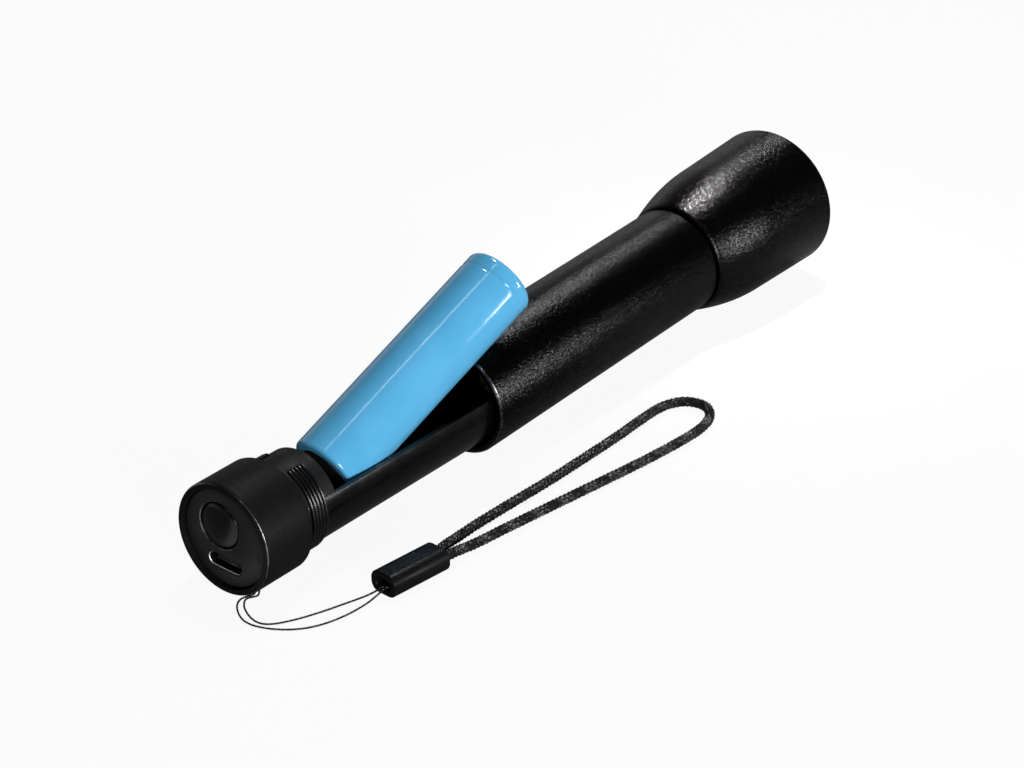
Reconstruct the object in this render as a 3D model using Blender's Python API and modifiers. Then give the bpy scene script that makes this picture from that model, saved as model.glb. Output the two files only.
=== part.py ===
# A hand torch, opened for its battery: the barrel is drawn forward off the
# battery tray and the cell leans out of the tray over the barrel's rear rim.
# Metres, +Z up, +X towards the lens. The torch lies on the table at Z = 0.

from math import acos, asin, atan2, cos, hypot, pi, radians, sin

import bmesh
import bpy
from mathutils import Matrix, Vector

# Clearances
seat_gap = 0.0003
running_gap = 0.0003

# Battery cell
cell_diameter = 0.0187
cell_length = 0.0673
cell_wrap_thickness = 0.0003
cell_end_rounding = 0.0018
cell_groove_from_tip = 0.0052
cell_groove_width = 0.0014
cell_groove_depth = 0.00045
cell_cap_radius = 0.0040
cell_cap_height = 0.0011
cell_vent_ring_radius = 0.0066
cell_tail_disc_thickness = 0.0006

# How the cell leans out of the tray
cell_foot_from_window = 0.0094
cell_foot_above_axis = 0.00175
cell_foot_sideways = 0.0007
cell_pitch = 0.4500
cell_yaw = -0.1226

# Battery tray
tray_radius = 0.0119
tray_side_clearance = 0.00075
tray_wall_height = 0.0036
tray_window_length = 0.0679
tray_pocket_length = 0.0040
tray_nose_wall = 0.0038
tray_nose_radius = 0.0114
tray_nose_chamfer = 0.0008
tray_collar_length = 0.0039

# Threaded neck between cap and tray
neck_thread_depth = 0.0007
neck_length = 0.0060
neck_spigot_length = 0.0050

# Tail cap
cap_radius = 0.0144
cap_length = 0.0153
cap_front_bevel = 0.0020
cap_rear_rounding = 0.0011
cap_wall = 0.0031
cap_recess_depth = 0.00125
cap_recess_radius = 0.0128
lanyard_hole_radius = 0.0012
lanyard_hole_station = 0.0044
lanyard_hole_angle = 0.419

# Tail disc with the button and the charging port
disc_thickness = 0.0012
button_hole_radius = 0.00615
button_height = 0.0027
button_sideways = 0.0017
button_flange_width = 0.00115
button_flange_thickness = 0.0009
button_crown = 0.0013
button_travel = 0.0012
port_height = -0.0068
port_sideways = 0.0010
port_roll = 0.0873
port_slot_width = 0.0104
port_slot_height = 0.0039
port_shell_wall = 0.0003
port_tongue_width = 0.0067
port_tongue_thickness = 0.0008
port_tongue_inset = 0.0012

# Switch and charging board
board_thickness = 0.0012
switch_size = 0.0084
switch_length = 0.0047
plunger_radius = 0.0015

# Contacts
contact_thickness = 0.0005
contact_radius = 0.0090
spring_wire_radius = 0.0004
rear_spring_radius = 0.0042
rear_spring_length = 0.0062
rear_spring_turns = 4.0
driver_spring_radius = 0.0036
driver_spring_length = 0.0060
driver_spring_turns = 4.0
stud_radius = 0.0009
rivet_radius = 0.0015
rivet_head_radius = 0.0032
rivet_head_thickness = 0.0008
strip_width = 0.0040
strip_thickness = 0.0004

# Barrel
barrel_radius = 0.0146
barrel_length = 0.0910
barrel_bore_clearance = 0.00035
barrel_rear_chamfer = 0.0005
barrel_front_chamfer = 0.00035
barrel_bore_length = 0.0870
barrel_neck_radius = 0.0134
barrel_neck_length = 0.0210
barrel_neck_bore_radius = 0.0114
barrel_play = 0.0002
barrel_engagement = 0.0180
sleeve_tilt = 0.0380
o_ring_wire_radius = 0.0004
o_ring_station = 0.0095
o_ring_groove_width = 0.0018
stop_ring_seat_depth = 0.0005
stop_ring_stand = 0.0015
stop_ring_thickness = 0.0020
stop_ring_from_front = 0.0037

# Light engine
pill_length = 0.0170
pill_flange_radius = 0.0126
pill_flange_thickness = 0.0010
driver_thickness = 0.0014
led_board_radius = 0.0100
led_board_thickness = 0.0016
led_size = 0.0035
led_base_thickness = 0.0007
led_dome_radius = 0.0014

# Head
head_gap = 0.0012
head_length = 0.0464
head_rear_radius = 0.0151
head_flare_length = 0.0208
head_crease_radius = 0.0189
head_radius = 0.01955
head_flare_power = 1.8
head_rear_chamfer = 0.0003
head_front_rounding = 0.0016
head_front_lip = 0.0006
head_rear_bore_length = 0.0070
head_chamber_clearance = 0.0004
head_lens_bore_radius = 0.0169
head_lens_seat = 0.0320
gasket_thickness = 0.0008
gasket_width = 0.0009
lens_edge_thickness = 0.0030
lens_crown_height = 0.0084
lens_ledge_width = 0.0014
lens_ring_width = 0.0010
lens_ring_thickness = 0.0030

# Wrist strap
string_radius = 0.00035
string_spacing = 0.00106
string_bend_radius = 0.0014
string_point_spacing = 0.0018
braid_radius = 0.0014
braid_spacing = 0.0031
braid_point_spacing = 0.0070
braid_point_turn = 0.3
bead_length = 0.0179
bead_width = 0.0084
bead_height = 0.0058
bead_corner = 0.0025
bead_rounding = 0.0005
bead_socket_depth = 0.0052
string_socket_width = 0.0050
string_socket_height = 0.0030
string_socket_depth = 0.0058
knot_radius = 0.0014
knot_thickness = 0.0011

# How finely round forms are divided
shell_steps = 48
ring_steps = 40
small_steps = 32

# Derived sizes of the tail module
facet_apothem = cos(pi / shell_steps)
cell_radius = cell_diameter / 2
trough_radius = cell_radius + tray_side_clearance
neck_crest_radius = tray_radius + neck_thread_depth
cap_front_station = cap_length + cap_front_bevel
cap_bore_radius = cap_radius - cap_wall
neck_front_station = cap_front_station + neck_length
window_station = neck_front_station + tray_collar_length
window_end_station = window_station + tray_window_length
pocket_end_station = window_end_station + tray_pocket_length
tray_end_station = pocket_end_station + tray_nose_wall
spigot_radius = cap_bore_radius - seat_gap
spigot_station = cap_front_station - neck_spigot_length
disc_station = cap_recess_depth
disc_front_station = disc_station + disc_thickness
disc_radius = cap_recess_radius - seat_gap
ledge_station = disc_front_station + seat_gap
board_station = spigot_station - seat_gap - board_thickness
board_radius = spigot_radius
switch_station = board_station - seat_gap - switch_length
plunger_bore_radius = plunger_radius + running_gap
plunger_bore_end = switch_station + switch_length * 0.6

# Derived sizes of the barrel and head
barrel_bore_radius = neck_crest_radius + barrel_bore_clearance
rim_station = tray_end_station - barrel_engagement
barrel_neck_end = barrel_length + barrel_neck_length
pill_radius = barrel_neck_bore_radius - seat_gap
pill_front_station = barrel_neck_end + seat_gap
pill_rear_station = pill_front_station - pill_length
pill_end_station = pill_front_station + pill_flange_thickness
led_board_station = pill_end_station + seat_gap
led_station = led_board_station + led_board_thickness + seat_gap
driver_station = pill_rear_station - seat_gap - driver_thickness
head_station = barrel_length + head_gap
head_end_station = head_station + head_length
head_rear_bore_radius = barrel_neck_radius + running_gap
stop_ring_radius = barrel_neck_radius + stop_ring_stand
head_chamber_radius = stop_ring_radius + head_chamber_clearance
lens_seat_station = head_station + head_lens_seat
lens_radius = head_lens_bore_radius - seat_gap
gasket_station = lens_seat_station + seat_gap
lens_station = gasket_station + gasket_thickness + seat_gap
lens_edge_station = lens_station + lens_edge_thickness
lens_dome_radius = lens_radius - lens_ledge_width
lens_ring_station = lens_edge_station + seat_gap
o_ring_groove_radius = barrel_neck_radius - seat_gap - 2 * o_ring_wire_radius
stop_ring_station = barrel_neck_end - stop_ring_from_front

# Where everything lies on the table
tail_axis_height = max(
    cap_radius * facet_apothem,
    barrel_radius * facet_apothem * cos(sleeve_tilt) - barrel_play,
    head_radius * facet_apothem * cos(sleeve_tilt)
    - (head_end_station - head_front_rounding) * sin(sleeve_tilt)
    - barrel_play,
    head_crease_radius * facet_apothem * cos(sleeve_tilt)
    - (head_station + head_flare_length) * sin(sleeve_tilt)
    - barrel_play,
)
rounding_station = head_end_station - head_front_rounding
rounding_radius = head_radius - head_front_rounding
head_reach = (
    rounding_station * cos(sleeve_tilt)
    + rounding_radius * sin(sleeve_tilt)
    + head_front_rounding
)
tail_x = -(rim_station + head_reach) / 2
rim_x = tail_x + rim_station

# Route of the string on the table, from the cap to the bead and back
string_route_out = [
    (-0.1119, -0.0047, 0.00035),
    (-0.1145, -0.0057, 0.00035),
    (-0.1170, -0.0083, 0.00035),
    (-0.1188, -0.0115, 0.00035),
    (-0.1193, -0.0145, 0.00035),
    (-0.1188, -0.0175, 0.00035),
    (-0.1176, -0.0205, 0.00035),
    (-0.1156, -0.0236, 0.00035),
    (-0.1126, -0.0264, 0.00035),
    (-0.1084, -0.0285, 0.00035),
    (-0.1033, -0.0299, 0.00045),
    (-0.0990, -0.0307, 0.00080),
    (-0.0964, -0.0311, 0.00125),
    (-0.0940, -0.0314, 0.00190),
]
string_route_back = [
    (-0.0933, -0.0299, 0.00180),
    (-0.0950, -0.0288, 0.00115),
    (-0.0972, -0.0275, 0.00070),
    (-0.1003, -0.0260, 0.00040),
    (-0.1037, -0.0248, 0.00035),
    (-0.1069, -0.0236, 0.00035),
    (-0.1102, -0.0222, 0.00035),
    (-0.1132, -0.0206, 0.00035),
    (-0.1156, -0.0190, 0.00035),
    (-0.1172, -0.0172, 0.00035),
    (-0.1177, -0.0150, 0.00035),
    (-0.1170, -0.0122, 0.00035),
    (-0.1154, -0.0092, 0.00035),
    (-0.1137, -0.0071, 0.00035),
    (-0.1114, -0.0057, 0.00035),
]

# Route of the braided wrist loop, out of the bead and back into it
loop_route = [
    (-0.0708, -0.0307, 0.00270),
    (-0.0674, -0.0298, 0.00220),
    (-0.0639, -0.0292, 0.00165),
    (-0.0594, -0.0288, 0.00142),
    (-0.0556, -0.0287, 0.00140),
    (-0.0422, -0.0290, 0.00140),
    (-0.0280, -0.0295, 0.00140),
    (-0.0130, -0.0295, 0.00140),
    (0.0008, -0.0293, 0.00140),
    (0.0112, -0.0288, 0.00140),
    (0.0199, -0.0291, 0.00140),
    (0.0251, -0.0323, 0.00140),
    (0.0258, -0.0378, 0.00140),
    (0.0221, -0.0420, 0.00140),
    (0.0158, -0.0440, 0.00140),
    (0.0071, -0.0440, 0.00140),
    (-0.0067, -0.0426, 0.00140),
    (-0.0228, -0.0402, 0.00140),
    (-0.0384, -0.0378, 0.00140),
    (-0.0538, -0.0355, 0.00140),
    (-0.0608, -0.0346, 0.00142),
    (-0.0642, -0.0343, 0.00165),
    (-0.0676, -0.0342, 0.00220),
    (-0.0708, -0.0343, 0.00270),
]
bead_start = Vector((-0.0915, -0.0305, bead_height / 2))
bead_heading = Vector((0.9936, -0.1133, 0.0))


def clear_scene():
    for item in list(bpy.data.objects):
        bpy.data.objects.remove(item, do_unlink=True)


def new_collection(name, parent):
    group = bpy.data.collections.new(name)
    parent.children.link(group)
    return group


def new_material(name, color, roughness, metallic=0.0, alpha=1.0):
    material = bpy.data.materials.new(name)
    material.use_nodes = True
    shader = material.node_tree.nodes["Principled BSDF"]
    shader.inputs["Base Color"].default_value = (*color, 1.0)
    shader.inputs["Roughness"].default_value = roughness
    shader.inputs["Metallic"].default_value = metallic
    shader.inputs["Alpha"].default_value = alpha
    material.diffuse_color = (*color, 1.0)
    return material


clear_scene()
torch = new_collection("flashlight", bpy.context.scene.collection)
cutters = new_collection("flashlight_cutters", bpy.context.scene.collection)


def new_frame(name, location, rotation):
    frame = bpy.data.objects.new(name, None)
    frame.location = location
    frame.rotation_euler = rotation
    torch.objects.link(frame)
    return frame


def place(name, data, frame, material, group=torch):
    part = bpy.data.objects.new(name, data)
    group.objects.link(part)
    part.parent = frame
    if material is not None:
        data.materials.append(material)
    if group is cutters:
        part.hide_render = True
        part.display_type = "WIRE"
    return part


def turned(name, profile, frame, material, steps=small_steps, closed=True, group=torch):
    """Turn (station, radius) points, listed down the outer side, about the frame's Z axis."""
    mesh = bpy.data.meshes.new(name)
    points = [(radius, 0.0, station) for station, radius in profile]
    count = len(points)
    edges = [(i, (i + 1) % count) for i in range(count if closed else count - 1)]
    mesh.from_pydata(points, edges, [])
    part = place(name, mesh, frame, material, group)
    part.rotation_euler = (0.0, 0.0, pi / steps)
    screw = part.modifiers.new("turn", "SCREW")
    screw.axis = "Z"
    screw.angle = 2 * pi
    screw.screw_offset = 0.0
    screw.steps = steps
    screw.render_steps = steps
    screw.use_merge_vertices = True
    screw.merge_threshold = 0.00001
    screw.use_smooth_shade = True
    return part


def box(name, size, center, frame, material, group=torch, rounding=0.0):
    mesh = bpy.data.meshes.new(name)
    shape = bmesh.new()
    bmesh.ops.create_cube(shape, size=1.0)
    bmesh.ops.scale(shape, vec=size, verts=shape.verts)
    bmesh.ops.translate(shape, vec=center, verts=shape.verts)
    shape.to_mesh(mesh)
    shape.free()
    part = place(name, mesh, frame, material, group)
    if rounding:
        bevel = part.modifiers.new("rounding", "BEVEL")
        bevel.width = rounding
        bevel.segments = 2
    return part


def rod(name, radius, start, end, frame, group=cutters, steps=small_steps):
    """A straight cylinder between two points of the frame."""
    start, end = Vector(start), Vector(end)
    axis = end - start
    turn = axis.to_track_quat("Z", "Y").to_matrix().to_4x4()
    mesh = bpy.data.meshes.new(name)
    shape = bmesh.new()
    bmesh.ops.create_cone(
        shape, cap_ends=True, segments=steps, radius1=radius, radius2=radius,
        depth=axis.length, matrix=Matrix.Translation((start + end) / 2) @ turn,
    )
    shape.to_mesh(mesh)
    shape.free()
    return place(name, mesh, frame, None, group)


def outline_slab(name, points, bottom, top, frame, material, group=torch):
    """A flat outline in the frame's XY plane, raised from bottom to top along its Z axis."""
    curve = bpy.data.curves.new(name, "CURVE")
    curve.dimensions = "2D"
    curve.fill_mode = "BOTH"
    curve.extrude = (top - bottom) / 2
    spline = curve.splines.new("POLY")
    spline.points.add(len(points) - 1)
    for target, (x, y) in zip(spline.points, points):
        target.co = (x, y, 0.0, 1.0)
    spline.use_cyclic_u = True
    guide = bpy.data.objects.new(name + "_outline", curve)
    torch.objects.link(guide)
    bpy.context.view_layer.update()
    graph = bpy.context.evaluated_depsgraph_get()
    mesh = bpy.data.meshes.new_from_object(guide.evaluated_get(graph))
    mesh.name = name
    shape = bmesh.new()
    shape.from_mesh(mesh)
    bmesh.ops.remove_doubles(shape, verts=shape.verts, dist=0.000001)
    bmesh.ops.recalc_face_normals(shape, faces=shape.faces)
    bmesh.ops.translate(shape, vec=(0, 0, (top + bottom) / 2), verts=shape.verts)
    shape.to_mesh(mesh)
    shape.free()
    bpy.data.objects.remove(guide, do_unlink=True)
    mesh.materials.clear()
    return place(name, mesh, frame, material, group)


def cut(part, *tools, operation="DIFFERENCE"):
    for tool in tools:
        boolean = part.modifiers.new(operation.lower(), "BOOLEAN")
        boolean.operation = operation
        boolean.solver = "EXACT"
        boolean.object = tool


def arc(center, radius, start, end, count):
    """(station, radius) points on an arc; angle 0 points outwards, a quarter turn forwards."""
    step = (end - start) / count
    return [
        (center[0] + radius * sin(start + step * i), center[1] + radius * cos(start + step * i))
        for i in range(count + 1)
    ]


def rounded_outline(width, height, center, corner, corner_steps=3):
    """A rounded outline, long across Y, in a frame whose X points down."""
    points = []
    for quarter in range(4):
        side = 1 if quarter in (0, 1) else -1
        rise = 1 if quarter in (0, 3) else -1
        for i in range(corner_steps + 1):
            angle = pi / 2 * (quarter + i / corner_steps)
            up = rise * (height / 2 - corner) + corner * cos(angle)
            left = side * (width / 2 - corner) + corner * sin(angle)
            if not points or hypot(center - up - points[-1][0], left - points[-1][1]) > 1e-6:
                points.append((center - up, left))
    if hypot(points[0][0] - points[-1][0], points[0][1] - points[-1][1]) < 1e-6:
        points.pop()
    return points


def obround(width, height, center, corner_steps=3):
    return rounded_outline(width, height, center, height / 2, corner_steps)


def tube(name, points, radius, frame, material, resolution, group=torch):
    curve = bpy.data.curves.new(name, "CURVE")
    curve.dimensions = "3D"
    curve.bevel_depth = radius
    curve.bevel_resolution = resolution
    curve.use_fill_caps = True
    curve.render_resolution_u = 0
    spline = curve.splines.new("POLY")
    spline.points.add(len(points) - 1)
    for target, point in zip(spline.points, points):
        target.co = (*point, 1.0)
    return place(name, curve, frame, material, group)


def smooth_route(route, spacing, turn=0.45):
    """Points on a smooth curve through the route's own points, closer where it bends."""
    knots = [Vector(point) for point in route]
    padded = [2 * knots[0] - knots[1], *knots, 2 * knots[-1] - knots[-2]]
    fine = [knots[0]]
    for before, start, end, after in zip(padded, padded[1:], padded[2:], padded[3:]):
        for i in range(1, 21):
            t = i / 20
            fine.append(
                0.5 * (
                    2 * start
                    + (end - before) * t
                    + (2 * before - 5 * start + 4 * end - after) * t * t
                    + (3 * start - before - 3 * end + after) * t * t * t
                )
            )
    chosen = [fine[0]]
    walked, bent = 0.0, 0.0
    for before, here, after in zip(fine, fine[1:], fine[2:]):
        walked += (here - before).length
        if (here - before).length > 0 and (after - here).length > 0:
            bent += (here - before).angle(after - here)
        if walked >= spacing or bent >= turn:
            chosen.append(here)
            walked, bent = 0.0, 0.0
    if walked < spacing / 3 and len(chosen) > 2:
        chosen.pop()
    return [*chosen, fine[-1]]


def coil_spring(name, station, length, radius, turns, wire, frame, material, taper=1.0):
    """A spring on the frame's Z axis, from station forwards, with ends that run straight."""
    per_turn = 9
    count = int(round(turns * per_turn))
    rise = length - 2 * wire
    points = []
    for i in range(count + 1):
        part_way = i / count
        angle = 2 * pi * turns * part_way
        reach = radius * (1 + (taper - 1) * part_way)
        points.append(
            (reach * cos(angle), reach * sin(angle), station + wire + rise * part_way)
        )
    pitch = rise / turns
    print(f"{name}: least gap between turns {1000 * (pitch - 2 * wire):.2f} mm")
    return tube(name, points, wire, frame, material, 1)


# Materials
anodised = new_material("black_anodised_aluminium", (0.012, 0.012, 0.013), 0.42, 0.6)
satin_cap = new_material("satin_black_cap", (0.016, 0.016, 0.018), 0.45, 0.3)
black_plastic = new_material("black_plastic", (0.012, 0.012, 0.013), 0.3)
black_rubber = new_material("black_rubber", (0.010, 0.010, 0.010), 0.55)
blue_wrap = new_material("blue_wrap", (0.10, 0.42, 0.80), 0.25)
nickel = new_material("nickel", (0.62, 0.60, 0.56), 0.28, 1.0)
brass = new_material("brass", (0.72, 0.55, 0.28), 0.32, 1.0)
spring_steel = new_material("spring_steel", (0.60, 0.60, 0.60), 0.3, 1.0)
raw_aluminium = new_material("raw_aluminium", (0.70, 0.70, 0.71), 0.38, 1.0)
board_green = new_material("board_green", (0.03, 0.12, 0.06), 0.45)
board_white = new_material("board_white", (0.75, 0.75, 0.73), 0.4)
phosphor = new_material("phosphor_yellow", (0.85, 0.70, 0.15), 0.35)
clear_plastic = new_material("clear_lens", (0.90, 0.93, 0.95), 0.04, 0.0, 0.35)
ring_paper = new_material("insulator_white", (0.80, 0.80, 0.78), 0.7)
black_cord = new_material("black_cord", (0.015, 0.015, 0.016), 0.8)

# Frames: every frame's Z axis runs towards the lens
tail = new_frame("tail_frame", (tail_x, 0, tail_axis_height), (0, pi / 2, 0))
button = new_frame(
    "button_frame", (tail_x, button_sideways, tail_axis_height + button_height), (0, pi / 2, 0)
)
sleeve = new_frame(
    "sleeve_frame", (rim_x, 0, tail_axis_height + barrel_play), (0, pi / 2 - sleeve_tilt, 0)
)
cell = new_frame(
    "cell_frame",
    (
        tail_x + window_station + cell_foot_from_window,
        cell_foot_sideways,
        tail_axis_height + cell_foot_above_axis,
    ),
    (0, pi / 2 - cell_pitch, cell_yaw),
)
world = new_frame("strap_frame", (0, 0, 0), (0, 0, 0))


def make_tail_cap():
    rear = arc((cap_rear_rounding, cap_radius - cap_rear_rounding), cap_rear_rounding, 0, -pi / 2, 4)
    profile = [
        (cap_front_station, cap_bore_radius),
        (cap_front_station, tray_radius + seat_gap),
        (cap_length, cap_radius),
        *rear,
        (0.0, cap_recess_radius),
        (ledge_station, cap_recess_radius),
        (ledge_station, cap_bore_radius),
    ]
    cap = turned("tail_cap", profile, tail, satin_cap, shell_steps)
    direction = Vector((cos(lanyard_hole_angle), -sin(lanyard_hole_angle), 0.0))
    station = Vector((0.0, 0.0, lanyard_hole_station))
    hole = rod(
        "lanyard_hole_cutter", lanyard_hole_radius,
        station + direction * (cap_bore_radius - cap_wall),
        station + direction * (cap_radius + cap_wall), tail, steps=16,
    )
    cut(cap, hole)


def move_to_port(piece):
    """Move a piece drawn about the cap's axis to where the charging port sits."""
    piece.location = (-port_height, port_sideways, 0.0)
    piece.rotation_euler = (0.0, 0.0, port_roll)


def make_tail_disc():
    profile = [
        (disc_front_station, 0.0),
        (disc_front_station, disc_radius),
        (disc_station, disc_radius),
        (disc_station, 0.0),
    ]
    disc = turned("tail_disc", profile, tail, black_plastic, shell_steps, closed=False)
    hole = rod(
        "button_hole_cutter", button_hole_radius,
        (-button_height, button_sideways, disc_station - disc_thickness),
        (-button_height, button_sideways, disc_front_station + disc_thickness), tail, steps=40,
    )
    slot = outline_slab(
        "port_slot_cutter", obround(port_slot_width, port_slot_height, 0.0),
        disc_station - disc_thickness, disc_front_station + disc_thickness, tail, None, cutters,
    )
    move_to_port(slot)
    cut(disc, hole, slot)


def make_button():
    flange_front = ledge_station + button_flange_thickness
    dome_radius = button_hole_radius - running_gap
    flange_radius = button_hole_radius + button_flange_width
    crown_radius = (dome_radius ** 2 + button_crown ** 2) / (2 * button_crown)
    crown_station = disc_station - 0.25 * button_crown + crown_radius
    half_angle = asin(dome_radius / crown_radius)
    pocket_station = ledge_station + seat_gap
    dome = [
        (crown_station - crown_radius * cos(half_angle * i / 4),
         crown_radius * sin(half_angle * i / 4))
        for i in range(4, 0, -1)
    ]
    profile = [
        (pocket_station, 0.0),
        (pocket_station, plunger_bore_radius),
        (flange_front, plunger_bore_radius),
        (flange_front, flange_radius),
        (ledge_station, flange_radius),
        (ledge_station, dome_radius),
        *dome,
        (crown_station - crown_radius, 0.0),
    ]
    turned("button_boot", profile, button, black_rubber, small_steps, closed=False)
    tip = pocket_station + seat_gap
    end = plunger_bore_end - button_travel - running_gap
    pin = [(end, 0.0), (end, plunger_radius), (tip, plunger_radius), (tip, 0.0)]
    turned("switch_plunger", pin, button, board_white, 20, closed=False)


def make_switch():
    housing = box(
        "switch_housing", (switch_size, switch_size, switch_length),
        (0, 0, switch_station + switch_length / 2), button, black_plastic, rounding=0.0004,
    )
    bore = rod(
        "plunger_bore_cutter", plunger_bore_radius,
        (0, 0, switch_station - switch_length), (0, 0, plunger_bore_end), button, steps=20,
    )
    cut(housing, bore)


def make_charging_port():
    outer_width = port_slot_width - 2 * seat_gap
    outer_height = port_slot_height - 2 * seat_gap
    inner_width = outer_width - 2 * port_shell_wall
    inner_height = outer_height - 2 * port_shell_wall
    start = disc_station + seat_gap / 2
    end = board_station - seat_gap
    shell = outline_slab(
        "port_shell", obround(outer_width, outer_height, 0.0), start, end, tail, nickel,
    )
    hollow = outline_slab(
        "port_hollow_cutter", obround(inner_width, inner_height, 0.0),
        start - port_shell_wall, end - port_shell_wall, tail, None, cutters,
    )
    cut(shell, hollow)
    tongue_end = end - port_shell_wall - seat_gap
    tongue_start = start + port_tongue_inset
    tongue = box(
        "port_tongue", (port_tongue_thickness, port_tongue_width, tongue_end - tongue_start),
        (0, 0, (tongue_start + tongue_end) / 2), tail, black_plastic,
    )
    for piece in (shell, hollow, tongue):
        move_to_port(piece)


def make_charging_board():
    profile = [
        (board_station + board_thickness, 0.0),
        (board_station + board_thickness, board_radius),
        (board_station, board_radius),
        (board_station, 0.0),
    ]
    turned("charging_board", profile, tail, board_green, shell_steps, closed=False)


def trough_outline(radius, top):
    """Half round below the axis, with straight walls up to top; the frame's X points down."""
    count = 20
    points = [(-top, radius)]
    for i in range(count + 1):
        angle = pi * i / count
        points.append((radius * sin(angle), radius * cos(angle)))
    points.append((-top, -radius))
    return points


def make_battery_tray():
    nose_station = window_end_station
    profile = [
        (tray_end_station, 0.0),
        (tray_end_station, tray_nose_radius - tray_nose_chamfer),
        (tray_end_station - tray_nose_chamfer, tray_nose_radius),
        (nose_station, tray_nose_radius),
        (nose_station - (tray_radius - tray_nose_radius), tray_radius),
        (cap_front_station + seat_gap, tray_radius),
        (cap_front_station + seat_gap, spigot_radius),
        (spigot_station, spigot_radius),
        (spigot_station, 0.0),
    ]
    tray = turned("battery_tray", profile, tail, black_plastic, shell_steps, closed=False)
    trough = outline_slab(
        "trough_cutter", trough_outline(trough_radius, 2 * tray_radius),
        window_station, window_end_station, tail, None, cutters,
    )
    window_top = box(
        "window_cutter",
        (2 * tray_radius, 4 * tray_radius, tray_window_length - tray_pocket_length),
        (-tray_wall_height - tray_radius, 0, window_station + (tray_window_length - tray_pocket_length) / 2),
        tail, None, cutters,
    )
    nose_pocket = rod(
        "nose_pocket_cutter", trough_radius,
        (0, 0, window_end_station - tray_pocket_length), (0, 0, pocket_end_station), tail,
        steps=shell_steps,
    )
    stud_hole = rod(
        "stud_hole_cutter", stud_radius + seat_gap,
        (0, 0, spigot_station - tray_radius), (0, 0, window_station + tray_radius), tail, steps=20,
    )
    rivet_hole = rod(
        "rivet_hole_cutter", rivet_radius + seat_gap,
        (0, 0, window_end_station), (0, 0, tray_end_station + tray_radius), tail, steps=20,
    )
    strip_groove = box(
        "strip_groove_cutter",
        (2 * (strip_thickness + seat_gap), strip_width + 2 * seat_gap, pocket_end_station - window_station),
        (trough_radius, 0, (window_station + pocket_end_station) / 2), tail, None, cutters,
    )
    cut(tray, trough, window_top, nose_pocket, stud_hole, rivet_hole, strip_groove)


def make_contacts():
    plate_start = window_station + seat_gap
    plate_end = plate_start + contact_thickness
    stud_end = board_station + board_thickness + seat_gap
    profile = [
        (plate_end, 0.0),
        (plate_end, contact_radius),
        (plate_start, contact_radius),
        (plate_start, stud_radius),
        (stud_end, stud_radius),
        (stud_end, 0.0),
    ]
    turned("rear_contact", profile, tail, nickel, small_steps, closed=False)
    coil_spring(
        "rear_spring", plate_end + seat_gap, rear_spring_length, rear_spring_radius,
        rear_spring_turns, spring_wire_radius, tail, spring_steel, taper=0.62,
    )
    inner_end = pocket_end_station - seat_gap
    outer_start = tray_end_station + seat_gap
    rivet = [
        (outer_start + rivet_head_thickness, 0.0),
        (outer_start + rivet_head_thickness, rivet_head_radius),
        (outer_start, rivet_head_radius),
        (outer_start, rivet_radius),
        (inner_end, rivet_radius),
        (inner_end, rivet_head_radius),
        (inner_end - rivet_head_thickness, rivet_head_radius),
        (inner_end - rivet_head_thickness, 0.0),
    ]
    turned("front_contact", rivet, tail, brass, small_steps, closed=False)
    strip_start = plate_end + seat_gap
    strip_end = pocket_end_station - seat_gap
    box(
        "return_strip", (strip_thickness, strip_width, strip_end - strip_start),
        (trough_radius + strip_thickness / 2, 0, (strip_start + strip_end) / 2), tail, brass,
    )


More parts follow.
